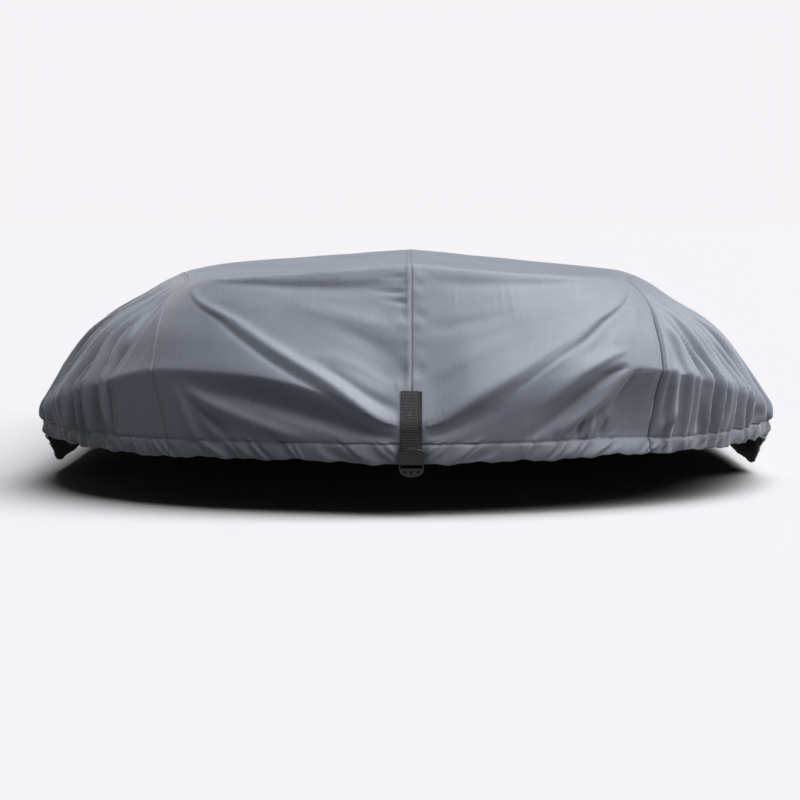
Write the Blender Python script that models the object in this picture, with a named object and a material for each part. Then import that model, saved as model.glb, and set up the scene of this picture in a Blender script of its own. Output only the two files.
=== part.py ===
"""Fitted boat cover, as it hangs in place.

Metres, +Z up. The bow points along -Y, port is +X. The origin lies on the centre line under the top of the
cloth, half way along the cover, where it rests on what it protects.

Every panel is cut from one surface. A point of it has two parameters:
  s  how far round the plan outline it lies, from 0 at the bow's centre line to HALF_GIRTH at the stern's
  v  how far up the cloth it lies, from 0 at the hem's lower edge to RIDGE_V on the centre ridge
"""

import math

import bmesh
import bpy
import numpy as np
from mathutils.geometry import delaunay_2d_cdt


class Table:
    """Rows of numbers under named columns."""

    def __init__(self, columns, *rows):
        self.columns = columns.split()
        self.rows = np.array(rows)

    def column(self, name):
        return self.rows[:, self.columns.index(name)]

    def named_rows(self):
        return [dict(zip(self.columns, row)) for row in self.rows.tolist()]

    def at(self, place, name):
        """A smooth curve through one column, read at places along the first column."""
        known = self.rows[:, 0]
        value = self.column(name)
        step = np.diff(known)
        rise = np.diff(value) / step
        between = (rise[:-1] * step[1:] + rise[1:] * step[:-1]) / (step[:-1] + step[1:])
        slope = np.concatenate([rise[:1], between, rise[-1:]])
        place = np.clip(place, known[0], known[-1])
        k = np.clip(np.searchsorted(known, place, side="right") - 1, 0, len(step) - 1)
        u = (place - known[k]) / step[k]
        start = value[k] * (1 + 2 * u) * (1 - u) ** 2 + slope[k] * step[k] * u * (1 - u) ** 2
        end = value[k + 1] * u * u * (3 - 2 * u) - slope[k + 1] * step[k] * u * u * (1 - u)
        return start + end


# Plan outline, which is where the cloth hangs widest
LENGTH = 3.00
HALF_BEAM = {"starboard": 0.787, "port": 0.761}
OUTLINE_HALF_BEAM = 0.776
BOW_LENGTH = 0.90
BOW_ROUNDNESS = 2.2
STERN_LENGTH = 0.55
STERN_ROUNDNESS = 2.6

# Cloth
CLOTH = 0.0022
HEM_DEPTH = 0.038
HEM_THICKNESS = 0.0060
SEAM_GAP = 0.0003
RIDGE_TOP = CLOTH

# v at the hem's stitching, at the three corners of a section and on the ridge
STITCH_V, BREAK_V, KNEE_V, CREST_V, RIDGE_V = 0.035, 0.15, 0.30, 0.50, 1.00

# Sections round the cover. Drops are measured down from the ridge, insets are measured in from the outline.
SECTIONS = Table(
    "s     hem_in hem_drop break_in break_drop knee_in knee_drop crest_in crest_drop",
    (0.00, 0.010, 0.385, 0.002, 0.312, 0.078, 0.165, 0.160, 0.014),
    (0.04, 0.010, 0.385, 0.002, 0.308, 0.078, 0.163, 0.160, 0.016),
    (0.12, 0.020, 0.385, 0.002, 0.268, 0.076, 0.152, 0.158, 0.023),
    (0.25, 0.030, 0.385, 0.004, 0.232, 0.074, 0.138, 0.156, 0.031),
    (0.42, 0.034, 0.386, 0.006, 0.218, 0.068, 0.120, 0.150, 0.039),
    (0.52, 0.034, 0.388, 0.008, 0.216, 0.066, 0.124, 0.160, 0.042),
    (0.68, 0.030, 0.388, 0.010, 0.241, 0.080, 0.136, 0.204, 0.046),
    (0.87, 0.024, 0.386, 0.010, 0.277, 0.108, 0.144, 0.260, 0.042),
    (1.02, 0.018, 0.384, 0.008, 0.312, 0.122, 0.147, 0.286, 0.039),
    (1.11, 0.012, 0.386, 0.007, 0.320, 0.124, 0.148, 0.290, 0.037),
    (1.21, 0.008, 0.394, 0.006, 0.328, 0.125, 0.148, 0.292, 0.036),
    (1.32, 0.006, 0.422, 0.006, 0.332, 0.125, 0.149, 0.293, 0.035),
    (1.43, 0.006, 0.462, 0.006, 0.332, 0.125, 0.150, 0.293, 0.035),
    (1.60, 0.008, 0.466, 0.006, 0.332, 0.125, 0.150, 0.293, 0.035),
    (2.20, 0.008, 0.452, 0.006, 0.332, 0.125, 0.150, 0.293, 0.037),
    (2.90, 0.008, 0.446, 0.006, 0.328, 0.122, 0.150, 0.284, 0.045),
    (3.35, 0.010, 0.442, 0.008, 0.310, 0.105, 0.140, 0.215, 0.058),
    (3.75, 0.010, 0.440, 0.008, 0.300, 0.090, 0.132, 0.170, 0.052),
    (3.95, 0.010, 0.440, 0.008, 0.300, 0.090, 0.132, 0.170, 0.048),
)
# How much lower the port side hangs at two of the corners
PORT_LOWER = Table(
    "s     knee   crest",
    (0.00, 0.000, 0.000),
    (0.90, 0.003, 0.000),
    (1.30, 0.009, 0.004),
    (1.80, 0.009, 0.009),
    (4.05, 0.009, 0.009),
)
# How far along the corners are rounded, to each side
CORNER_ROUNDS = Table(
    "s     break_starboard break_port knee  crest",
    (0.00, 0.012, 0.012, 0.045, 0.012),
    (0.10, 0.008, 0.016, 0.045, 0.009),
    (0.25, 0.006, 0.045, 0.045, 0.009),
    (0.38, 0.006, 0.035, 0.050, 0.012),
    (0.48, 0.006, 0.012, 0.050, 0.018),
    (0.80, 0.006, 0.010, 0.055, 0.050),
    (1.40, 0.012, 0.012, 0.060, 0.060),
    (4.05, 0.014, 0.014, 0.060, 0.060),
)

# Where along the cover each section meets the ridge, and how far the ridge has dropped there
RIDGE = Table(
    "s     meets_y  drop",
    (0.00, -1.060, 0.012),
    (0.50, -0.860, 0.010),
    (1.34, -0.500, 0.003),
    (2.00, 0.060, 0.000),
    (3.00, 0.860, 0.012),
    (4.05, 1.120, 0.024),
)

# The seam between a middle and a side panel: its s at the bow, and how far round from the stern's centre line
BOW_SEAM = Table(
    "v     starboard port",
    (0.00, 0.515, 0.528),
    (0.07, 0.524, 0.535),
    (0.15, 0.540, 0.546),
    (0.22, 0.558, 0.567),
    (0.29, 0.584, 0.593),
    (0.39, 0.645, 0.650),
    (0.50, 0.730, 0.735),
)
STERN_SEAM_FROM_END = 0.440

# Folds of the bow, drawn by the webbing towards the centre. Each follows a curve through its start, its
# middle and its end, as a soft ridge, or a trough where its height is negative. The last two columns are how
# far it reaches up and down the cloth from its line.
FOLD_COLUMNS = "s0     v0     s1     v1     s2     v2     height  above   below"
FOLDS = {
    "starboard": Table(
        FOLD_COLUMNS,
        (0.600, 0.482, 0.265, 0.252, 0.026, 0.148, 0.0090, 0.0250, 0.0120),
        (0.560, 0.438, 0.300, 0.240, 0.090, 0.157, -0.0038, 0.0090, 0.0140),
        (0.225, 0.232, 0.120, 0.236, 0.030, 0.216, 0.0034, 0.0180, 0.0110),
        (0.190, 0.222, 0.100, 0.212, 0.026, 0.196, -0.0032, 0.0110, 0.0120),
        (0.500, 0.134, 0.260, 0.106, 0.024, 0.068, -0.0175, 0.0340, 0.0160),
        (0.480, 0.132, 0.310, 0.080, 0.180, 0.042, 0.0068, 0.0110, 0.0150),
        (0.480, 0.118, 0.458, 0.078, 0.438, 0.032, 0.0046, 0.0100, 0.0100),
        (0.440, 0.096, 0.405, 0.066, 0.388, 0.036, -0.0045, 0.0090, 0.0090),
        (0.560, 0.486, 0.260, 0.452, 0.030, 0.452, -0.0042, 0.0140, 0.0230),
    ),
    "port": Table(
        FOLD_COLUMNS,
        (0.600, 0.482, 0.290, 0.258, 0.026, 0.142, 0.0076, 0.0340, 0.0130),
        (0.600, 0.460, 0.360, 0.268, 0.165, 0.130, -0.0056, 0.0090, 0.0140),
        (0.230, 0.140, 0.120, 0.100, 0.026, 0.074, -0.0120, 0.0330, 0.0190),
        (0.468, 0.212, 0.355, 0.160, 0.230, 0.090, 0.0056, 0.0200, 0.0100),
        (0.458, 0.172, 0.345, 0.108, 0.215, 0.040, -0.0130, 0.0190, 0.0120),
        (0.478, 0.160, 0.380, 0.094, 0.285, 0.044, 0.0078, 0.0100, 0.0100),
        (0.440, 0.112, 0.386, 0.074, 0.336, 0.044, -0.0056, 0.0090, 0.0090),
        (0.488, 0.158, 0.455, 0.118, 0.420, 0.072, -0.0054, 0.0100, 0.0090),
        (0.580, 0.486, 0.270, 0.460, 0.030, 0.462, -0.0022, 0.0140, 0.0220),
    ),
}
FOLD_TAPER = 0.24
WEBBING_FADE = 0.020

# Pleats that the elastic draws up round the quarters and along the sides: the place of each one's crest at
# the break, and its height. They close up towards the shoulder.
PLEATS = {
    "starboard": Table(
        "s      turn  height",
        (0.500, -3.0, 0.0000),
        (0.640, -1.0, 0.0014),
        (0.700, 0.0, 0.0080),
        (0.765, 1.0, 0.0130),
        (0.810, 2.0, 0.0100),
        (0.865, 3.0, 0.0120),
        (0.930, 4.0, 0.0140),
        (1.010, 5.0, 0.0120),
        (1.090, 6.0, 0.0130),
        (1.170, 7.0, 0.0100),
        (1.250, 8.0, 0.0120),
        (1.340, 9.0, 0.0100),
        (4.050, 40.0, 0.0080),
    ),
    "port": Table(
        "s      turn  height",
        (0.510, -1.0, 0.0010),
        (0.578, 0.0, 0.0090),
        (0.630, 1.0, 0.0080),
        (0.690, 2.0, 0.0110),
        (0.740, 3.0, 0.0100),
        (0.790, 4.0, 0.0120),
        (0.850, 5.0, 0.0110),
        (0.920, 6.0, 0.0130),
        (1.000, 7.0, 0.0120),
        (1.080, 8.0, 0.0100),
        (1.170, 9.0, 0.0120),
        (1.260, 10.0, 0.0100),
        (4.050, 42.0, 0.0080),
    ),
}
PLEAT_FAN_S = 0.56
PLEAT_CLOSING = 0.22
PLEAT_SHARPNESS = 1.7
PLEAT_BELOW = 0.62
PLEAT_AT_HEM = 0.35
PLEAT_FROM_SEAM = 0.050
# Slow waves that make the pleats' heights uneven
HEIGHT_WAVES = Table(
    "size rate start",
    (0.18, 2.7, 0.5),
    (0.12, 5.9, 1.9),
)
PUCKER_PITCH = 0.074
PUCKER_HEIGHT = 0.0016
PUCKER_LEAN = 0.4
PUCKER_WAVES = Table(
    "size rate start",
    (0.9, 23.0, 0.0),
)
HEM_SWELL = 0.0022

# Webbing and buckle at the bow, as drops below the ridge
WEBBING_WIDTH = 0.040
WEBBING_END_WIDTH = 0.032
WEBBING_THICKNESS = 0.0015
WEBBING_TOP_V, WEBBING_LOW_V = 0.212, 0.100
WEBBING_SEWN_TO_DROP = 0.322
TURN_STEPS = 8
BAR_DROP = 0.366
BAR_RADIUS = 0.0020
BUCKLE_WIDTH = 0.048
BUCKLE_ARCH = 0.0075
BUCKLE_PLATE = 0.0022
BUCKLE_SIDE_PLAY = 0.0008
BUCKLE_TOP_DROP = 0.3545
BUCKLE_BODY_DROP = 0.3950
BUCKLE_BOTTOM_DROP = 0.4085
BUCKLE_RUNG = 0.0030
BUCKLE_SLOT = 0.0065
TAB_HALF_WIDTH = 0.0230
ARC_STEP = 15
BAR_SIDES = 12
GRIP_HOLE_DROPS = (0.0042, 0.0062, 0.0042)
GRIP_HOLE_PITCH = 0.0125
GRIP_HOLE_HALF = 0.0042
GRIP_HOLE_MARGIN = 0.0022

CLOTH_GREY = (0.150, 0.168, 0.195, 1.0)
WEBBING_BLACK = (0.022, 0.022, 0.026, 1.0)
BUCKLE_BLACK = (0.012, 0.012, 0.014, 1.0)


def clear_scene():
    for thing in list(bpy.data.objects):
        bpy.data.objects.remove(thing, do_unlink=True)


def material(name, colour, roughness):
    made = bpy.data.materials.new(name)
    made.use_nodes = True
    shader = made.node_tree.nodes["Principled BSDF"]
    shader.inputs["Base Color"].default_value = colour
    shader.inputs["Roughness"].default_value = roughness
    shader.inputs["Metallic"].default_value = 0.0
    return made


def smooth_step(x, low, high):
    u = np.clip((x - low) / (high - low), 0.0, 1.0)
    return u * u * (3 - 2 * u)


def outline():
    """The half outline by arc length: two quarter superellipses and the straight side between them."""
    turn = np.linspace(0, math.pi / 2, 3001)
    bow_x = OUTLINE_HALF_BEAM * np.sin(turn) ** (2 / BOW_ROUNDNESS)
    bow_y = -LENGTH / 2 + BOW_LENGTH * (1 - np.cos(turn) ** (2 / BOW_ROUNDNESS))
    stern_x = OUTLINE_HALF_BEAM * np.cos(turn) ** (2 / STERN_ROUNDNESS)
    stern_y = LENGTH / 2 - STERN_LENGTH * (1 - np.sin(turn) ** (2 / STERN_ROUNDNESS))
    x = np.concatenate([bow_x, stern_x])
    y = np.concatenate([bow_y, stern_y])
    s = np.concatenate([[0.0], np.cumsum(np.hypot(np.diff(x), np.diff(y)))])
    return s, x, y


OUTLINE_S, OUTLINE_X, OUTLINE_Y = outline()
HALF_GIRTH = float(OUTLINE_S[-1])
NORMAL_STEP = 0.012
TINY = 0.002


def outline_point(s):
    return np.interp(s, OUTLINE_S, OUTLINE_X), np.interp(s, OUTLINE_S, OUTLINE_Y)


def inward(s):
    """Unit plan direction square to the outline, pointing in; the centre line's at both ends."""
    before = outline_point(np.maximum(s - NORMAL_STEP, 0.0))
    after = outline_point(np.minimum(s + NORMAL_STEP, HALF_GIRTH))
    along_x = after[0] - before[0]
    along_y = after[1] - before[1]
    length = np.hypot(along_x, along_y)
    from_end = np.minimum(s, HALF_GIRTH - s)
    side = smooth_step(from_end, 0.0, 2 * NORMAL_STEP)
    x = -along_y / length * side
    y = along_x / length
    size = np.hypot(x, y)
    return x / size, y / size


def soft_ramp(x, reach):
    """0 below -reach, x above reach, and a parabola between them."""
    blend = (x + reach) ** 2 / (4 * reach)
    return np.where(x <= -reach, 0.0, np.where(x >= reach, x, blend))


def base_surface(side, s, v):
    """The cloth without folds: at each s a section from hem to ridge, straight between rounded corners."""
    out_x, out_y = outline_point(s)
    in_x, in_y = inward(s)
    widen = HALF_BEAM[side] / OUTLINE_HALF_BEAM

    def corner(name):
        inset = SECTIONS.at(s, name + "_in")
        drop = SECTIONS.at(s, name + "_drop")
        if side == "port" and name in PORT_LOWER.columns:
            drop = drop + PORT_LOWER.at(s, name)
        return np.stack([(out_x + in_x * inset) * widen, out_y + in_y * inset, RIDGE_TOP - drop], axis=-1)

    corners = [corner(name) for name in ("hem", "break", "knee", "crest")]
    corners.append(np.stack([0.0 * s, RIDGE.at(s, "meets_y"), RIDGE_TOP - RIDGE.at(s, "drop")], axis=-1))
    lengths = [np.linalg.norm(b - a, axis=-1) for a, b in zip(corners, corners[1:])]
    ways = [(b - a) / length[..., None] for a, b, length in zip(corners, corners[1:], lengths)]
    marks = np.concatenate([[np.zeros_like(s)], np.cumsum(lengths, axis=0)])
    levels = (0.0, STITCH_V, BREAK_V, KNEE_V, CREST_V, RIDGE_V)
    runs = [marks[0], marks[0] + HEM_DEPTH, *marks[1:]]
    run = np.zeros_like(s)
    for low, high, start, end in zip(levels, levels[1:], runs, runs[1:]):
        share = np.clip((v - low) / (high - low), 0.0, 1.0)
        run = run + share * (end - start)
    point = corners[0] + ways[0] * run[..., None]
    for name, mark, before, after in zip(("break_" + side, "knee", "crest"), marks[1:], ways, ways[1:]):
        point = point + (after - before) * soft_ramp(run - mark, CORNER_ROUNDS.at(s, name))[..., None]
    sign = 1.0 if side == "port" else -1.0
    return point * np.array([sign, 1.0, 1.0])


def fold_path(fold, share):
    """The place of a fold at each share of its length, on the parabola through its three points."""
    start, middle, end = [np.array([fold["s%d" % k], fold["v%d" % k]]) for k in range(3)]
    u = np.asarray(share)[..., None]
    return start * (1 - u) * (1 - 2 * u) + middle * 4 * u * (1 - u) + end * u * (2 * u - 1)


def fold_height(side, s, v):
    """Sum of the bow's folds, each a soft ridge or trough that tapers to its ends, clear of the webbing."""
    here = np.stack([s, v], axis=-1)
    height = np.zeros_like(s)
    for fold in FOLDS[side].named_rows():
        start, end = fold_path(fold, np.array([0.0, 1.0]))
        chord = end - start
        along = (here - start) @ chord / (chord @ chord)
        share = np.clip(along, 0.0, 1.0)
        slope = fold_path(fold, share + 0.01) - fold_path(fold, share - 0.01)
        slope = slope / np.linalg.norm(slope, axis=-1)[..., None]
        off = here - fold_path(fold, share)
        away = off[..., 0] * slope[..., 1] - off[..., 1] * slope[..., 0]
        taper = smooth_step(along, 0.0, FOLD_TAPER) * smooth_step(1 - along, 0.0, FOLD_TAPER)
        width = np.where(away > 0, fold["above"], fold["below"])
        height = height + fold["height"] * taper * np.exp(-((away / width) ** 2))
    beside_webbing = smooth_step(s, WEBBING_WIDTH / 2, WEBBING_WIDTH)
    above_webbing = smooth_step(v - WEBBING_TOP_V, WEBBING_FADE / 2, WEBBING_FADE * 1.5)
    return height * np.maximum(beside_webbing, above_webbing)


def waves(at, table):
    return sum(row["size"] * np.sin(at * row["rate"] + row["start"]) for row in table.named_rows())


def up_from_break(v):
    """0 below the break, rising to 1 at the crest."""
    return np.clip((v - BREAK_V) / (CREST_V - BREAK_V), 0.0, 1.0)


def pleat_place(s, v):
    """The s at the break of the pleat that passes (s, v)."""
    return PLEAT_FAN_S + (s - PLEAT_FAN_S) / (1 - PLEAT_CLOSING * up_from_break(v))


def pleat_turns(side, s, v):
    """Number of pleats passed since the first; whole at a crest."""
    return PLEATS[side].at(pleat_place(s, v), "turn")


def pleat_height(side, s, v):
    """Uneven pleats with narrow crests that stand up from the hem, lean over the break and fade towards the
    shoulder. They start clear of the seam."""
    turns = pleat_turns(side, s, v)
    crest = (0.5 + 0.5 * np.cos(2 * math.pi * turns)) ** PLEAT_SHARPNESS
    wave = (1 + PLEAT_BELOW) * crest - PLEAT_BELOW
    uneven = 1 + waves(turns, HEIGHT_WAVES)
    fade = 1 - smooth_step(up_from_break(v), 0.0, 1.0)
    hem = PLEAT_AT_HEM + (1 - PLEAT_AT_HEM) * smooth_step(v, 0.0, 2 * STITCH_V)
    off_seam = smooth_step(s - BOW_SEAM.at(np.minimum(v, CREST_V), side), 0.0, PLEAT_FROM_SEAM)
    return PLEATS[side].at(pleat_place(s, v), "height") * wave * uneven * fade * hem * off_seam


def hem_height(s, v):
    """The swell of the gathered casing, drawn in at its stitching, with its own small puckers."""
    in_casing = np.clip(v / STITCH_V, 0.0, 1.0)
    swell = HEM_SWELL * np.sin(math.pi * in_casing)
    turns = 2 * math.pi * (s + PUCKER_LEAN * v) / PUCKER_PITCH + waves(s, PUCKER_WAVES)
    pucker = PUCKER_HEIGHT * np.sin(turns) * (1 - smooth_step(v, STITCH_V, STITCH_V * 1.5))
    return (swell + pucker) * smooth_step(s, WEBBING_WIDTH / 2, WEBBING_WIDTH)


def cloth_points(side, s, v):
    """Outer and inner points of the cloth, each moved along the smooth surface's normal."""
    along = base_surface(side, s + TINY, v) - base_surface(side, np.maximum(s - TINY, 0.0), v)
    climb = base_surface(side, s, v + TINY) - base_surface(side, s, v - TINY)
    normal = np.cross(along, climb)
    if side == "starboard":
        normal = -normal
    normal = normal / np.linalg.norm(normal, axis=-1)[..., None]
    base = base_surface(side, s, v)
    height = fold_height(side, s, v) + pleat_height(side, s, v) + hem_height(s, v)
    thickness = HEM_THICKNESS + (CLOTH - HEM_THICKNESS) * smooth_step(v, STITCH_V * 0.8, STITCH_V * 1.1)
    outer = base + normal * height[..., None]
    inner = base + normal * (height - thickness)[..., None]
    sign = 1.0 if side == "port" else -1.0
    for shell in (outer, inner):
        shell[..., 0] = sign * np.maximum(sign * shell[..., 0], SEAM_GAP / 2)
    return outer, inner


def flat_pattern(border, rows, creases=None):
    """Triangles in the (s, v) plane inside a border. Their corners are the rows' points and the creases' own,
    and a row's point that would crowd a crease is left out."""
    inside = np.array([point for row in rows for point in row])
    if creases is not None:
        gaps = np.linalg.norm(inside[:, None, :] - creases[None, :, :], axis=-1).min(axis=1)
        inside = np.concatenate([inside[gaps > CREASE_CLEARANCE], creases])
    corners = [tuple(point) for point in border] + [tuple(point) for point in inside.tolist()]
    points, _, faces, _, _, _ = delaunay_2d_cdt(corners, [], [list(range(len(border)))], 1, 1e-6)
    return np.array([tuple(point) for point in points]), [tuple(face) for face in faces]


def crease_points(side):
    """Points along the middle of each fold and then along its feet, kept apart and inside the bow's panel."""
    middles = []
    feet = []
    for fold in FOLDS[side].named_rows():
        length = float(np.linalg.norm(np.diff(fold_path(fold, np.array([0.0, 1.0])), axis=0)))
        share = np.linspace(0.04, 0.96, max(4, round(length / CREASE_STEP)))
        middle = fold_path(fold, share)
        way = np.gradient(middle, axis=0)
        way = way / np.linalg.norm(way, axis=1)[:, None]
        down = np.stack([-way[:, 1], way[:, 0]], axis=1) * CREASE_FOOT
        middles.append(middle)
        feet += [middle - down * fold["above"], middle + down * fold["below"]]
    kept = np.empty((0, 2))
    for point in np.concatenate(middles + feet):
        seam = float(side_seam_s(side, point[1], "bow"))
        inside = CREASE_MARGIN < point[0] < seam - CREASE_MARGIN
        inside = inside and STITCH_V + CREASE_CLEARANCE < point[1] < CREST_V - 2 * CREASE_CLEARANCE
        if inside and (not len(kept) or np.linalg.norm(kept - point, axis=1).min() > CREASE_CLEARANCE):
            kept = np.concatenate([kept, point[None]])
    return kept


def sheet(name, side, pattern, colour):
    """A closed sheet: the pattern on the outer and inner surface, joined round its border."""
    points, faces = pattern
    outer, inner = cloth_points(side, points[:, 0], points[:, 1])
    count = len(points)
    walk = faces if side == "port" else [face[::-1] for face in faces]
    edges = {}
    for face in walk:
        for a, b in zip(face, face[1:] + face[:1]):
            edges[(a, b)] = True
    border = [(a, b) for a, b in edges if (b, a) not in edges]
    solid = list(walk)
    solid += [tuple(corner + count for corner in face[::-1]) for face in walk]
    solid += [(b, a, a + count, b + count) for a, b in border]
    mesh = bpy.data.meshes.new(name)
    mesh.from_pydata(np.concatenate([outer, inner]).tolist(), [], solid)
    mesh.validate()
    shape = bmesh.new()
    shape.from_mesh(mesh)
    bmesh.ops.triangulate(shape, faces=[face for face in shape.faces if len(face.verts) > 3])
    shape.to_mesh(mesh)
    shape.free()
    return place(name, mesh, colour)


def place(name, mesh, colour):
    made = bpy.data.objects.new(name, mesh)
    mesh.materials.append(colour)
    mesh.shade_smooth()
    mesh.set_sharp_from_angle(angle=math.radians(50))
    bpy.context.scene.collection.objects.link(made)
    return made


def spaced(start, end, spacing):
    """Places from start to end with equal steps of about this spacing, both ends left out."""
    count = max(2, round(abs(end - start) / spacing) + 1)
    return np.linspace(start, end, count)[1:-1]


def side_seam_s(side, v, end):
    """The s of the seam between a middle and a side panel, at the bow or at the stern."""
    if end == "stern":
        return HALF_GIRTH - STERN_SEAM_FROM_END + 0.0 * v
    return BOW_SEAM.at(v, side)


# Rows of corners up the cloth: v, the spacing along s at the bow, and the number of corners to a pleat at
# the pleated quarter and along the rest, 0 where a row has none
ROWS = Table(
    "v      bow    quarter  rest",
    (0.018, 0.026, 6.0, 0.0),
    (0.035, 0.026, 6.0, 2.0),
    (0.052, 0.030, 0.0, 0.0),
    (0.075, 0.030, 6.0, 0.0),
    (0.100, 0.030, 0.0, 0.0),
    (0.126, 0.028, 6.0, 0.0),
    (0.143, 0.026, 6.0, 2.0),
    (0.158, 0.026, 6.0, 2.0),
    (0.182, 0.030, 6.0, 0.0),
    (0.212, 0.034, 0.0, 0.0),
    (0.240, 0.034, 4.0, 2.0),
    (0.268, 0.036, 0.0, 0.0),
    (0.298, 0.036, 4.0, 0.0),
    (0.328, 0.036, 0.0, 0.0),
    (0.360, 0.036, 2.0, 1.0),
    (0.392, 0.036, 0.0, 0.0),
    (0.425, 0.036, 1.0, 0.5),
    (0.460, 0.036, 1.0, 0.5),
)
# The rows above the crest, and the spacing along the hem, the crest and the ridge
TOP_ROWS = Table(
    "v      spacing",
    (0.530, 0.085),
    (0.575, 0.120),
    (0.680, 0.180),
    (0.820, 0.240),
)
HEM_SPACING = 0.026
HEM_CORNERS_IN_QUARTER = 6.0
HEM_CORNERS_IN_REST = 2.0
CREST_SPACING = 0.072
RIDGE_SPACING = 0.20
ROW_END_GAP = 0.007
QUARTER_END_S = 1.38
CREASE_STEP = 0.020
CREASE_FOOT = 1.25
CREASE_CLEARANCE = 0.0085
CREASE_MARGIN = 0.012


def row_points(v, start, end, spacing):
    return [(s, v) for s in spaced(start, end, spacing)]


def pleat_points(side, v, start, end, corners):
    """Points of a row at the pleats' crests and evenly between them, this many corners to a pleat."""
    s = np.arange(start, end, TINY)
    turns = pleat_turns(side, s, np.full_like(s, v)) * corners
    found = np.interp(np.arange(math.ceil(turns[0]), turns[-1]), turns, s)
    return [(place, v) for place in found if start + ROW_END_GAP < place < end - ROW_END_GAP]


def middle_panel(side, colour):
    """From the bow's hem over the top to the stern's hem, between the centre seam and the side seams."""
    half = SEAM_GAP / 2
    v_levels = [0.0, *ROWS.column("v")]
    top_levels = [CREST_V, *TOP_ROWS.column("v")]
    top_v = CREST_V + half
    bow_seam = [(float(side_seam_s(side, v, "bow")) - half, v) for v in v_levels + [top_v]]
    stern_seam = [(float(side_seam_s(side, v, "stern")) + half, v) for v in v_levels[::2] + [top_v]]
    border = [(0.0, v) for v in reversed(v_levels + top_levels)]
    border += row_points(0.0, 0.0, bow_seam[0][0], HEM_SPACING)
    border += bow_seam
    border += row_points(top_v, bow_seam[-1][0], stern_seam[-1][0], CREST_SPACING)
    border += stern_seam[::-1]
    border += pleat_points(side, 0.0, stern_seam[0][0], HALF_GIRTH, HEM_CORNERS_IN_REST)
    border += [(HALF_GIRTH, v) for v in v_levels[::2] + top_levels + [RIDGE_V]]
    border += row_points(RIDGE_V, HALF_GIRTH, 0.0, RIDGE_SPACING)
    border += [(0.0, RIDGE_V)]
    rows = []
    for row in ROWS.named_rows():
        v = row["v"]
        rows.append(row_points(v, 0.0, float(side_seam_s(side, v, "bow")) - half, row["bow"]))
        if row["rest"]:
            seam = float(side_seam_s(side, v, "stern")) + half
            rows.append(pleat_points(side, v, seam, HALF_GIRTH, row["rest"]))
    for row in TOP_ROWS.named_rows():
        rows.append(row_points(row["v"], 0.0, HALF_GIRTH, row["spacing"]))
    return sheet("middle_panel_" + side, side, flat_pattern(border, rows, crease_points(side)), colour)


def side_panel(side, colour):
    """Round the side from the bow's seam to the stern's, up to the seam along the crest."""
    half = SEAM_GAP / 2
    v_levels = [0.0, *ROWS.column("v")]
    top_v = CREST_V - half
    bow_seam = [(float(side_seam_s(side, v, "bow")) + half, v) for v in v_levels + [top_v]]
    stern_seam = [(float(side_seam_s(side, v, "stern")) - half, v) for v in v_levels[::2] + [top_v]]
    border = [bow_seam[0]]
    border += pleat_points(side, 0.0, bow_seam[0][0], QUARTER_END_S, HEM_CORNERS_IN_QUARTER)
    border += pleat_points(side, 0.0, QUARTER_END_S, stern_seam[0][0], HEM_CORNERS_IN_REST)
    border += stern_seam
    border += row_points(top_v, stern_seam[-1][0], bow_seam[-1][0], CREST_SPACING)
    border += bow_seam[:0:-1]
    rows = []
    for row in ROWS.named_rows():
        v = row["v"]
        if row["quarter"]:
            seam = float(side_seam_s(side, v, "bow")) + half
            rows.append(pleat_points(side, v, seam, QUARTER_END_S, row["quarter"]))
        if row["rest"]:
            seam = float(side_seam_s(side, v, "stern")) - half
            rows.append(pleat_points(side, v, QUARTER_END_S, seam, row["rest"]))
    return sheet("side_panel_" + side, side, flat_pattern(border, rows), colour)


def pushed_out(path, distance):
    """A path in y and z moved square to itself, towards the bow."""
    way = np.gradient(path, axis=0)
    way = way / np.linalg.norm(way, axis=1)[:, None]
    return path + np.stack([-np.abs(way[:, 1]), way[:, 0] * np.sign(way[:, 1])], axis=1) * distance


def webbing(colour):
    """One length folded in two round the buckle's bar, its back layer on the cloth, its front one on that."""
    lift = WEBBING_THICKNESS / 2
    v = ROWS.column("v")[::-1]
    v = v[(v >= WEBBING_LOW_V) & (v <= WEBBING_TOP_V)]
    outer, _ = cloth_points("port", np.zeros_like(v), v)
    back = pushed_out(outer[:, 1:], 2 * SEAM_GAP + lift)
    front = pushed_out(outer[:, 1:], 3 * SEAM_GAP + 3 * lift)
    bar_y, bar_z = bar_centre()
    radius = BAR_RADIUS + SEAM_GAP + lift
    angle = np.radians(np.linspace(0, -180, TURN_STEPS + 1))
    turn = np.stack([bar_y + radius * np.cos(angle), bar_z + radius * np.sin(angle)], axis=1)
    path = np.concatenate([back, turn, front[::-1]])
    way = np.gradient(path, axis=0)
    way = way / np.linalg.norm(way, axis=1)[:, None]
    square = np.stack([-way[:, 1], way[:, 0]], axis=1) * lift
    sewn = (np.arange(len(path)) >= len(path) - len(v)) & (path[:, 1] > RIDGE_TOP - WEBBING_SEWN_TO_DROP)
    port_edge = np.where(sewn, WEBBING_END_WIDTH - WEBBING_WIDTH / 2, WEBBING_WIDTH / 2)
    rings = []
    for (y, z), (off_y, off_z), port in zip(path, square, port_edge):
        near = (y + off_y, z + off_z)
        far = (y - off_y, z - off_z)
        rings.append([(-WEBBING_WIDTH / 2, *near), (port, *near), (port, *far), (-WEBBING_WIDTH / 2, *far)])
    shape = bmesh.new()
    loops = [[shape.verts.new(corner) for corner in ring] for ring in rings]
    for near, far in zip(loops, loops[1:]):
        for k in range(4):
            shape.faces.new((near[k], near[(k + 1) % 4], far[(k + 1) % 4], far[k]))
    shape.faces.new(loops[0][::-1])
    shape.faces.new(loops[-1])
    bmesh.ops.recalc_face_normals(shape, faces=shape.faces)
    mesh = bpy.data.meshes.new("bow_webbing")
    shape.to_mesh(mesh)
    shape.free()
    return place("bow_webbing", mesh, colour)


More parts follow.
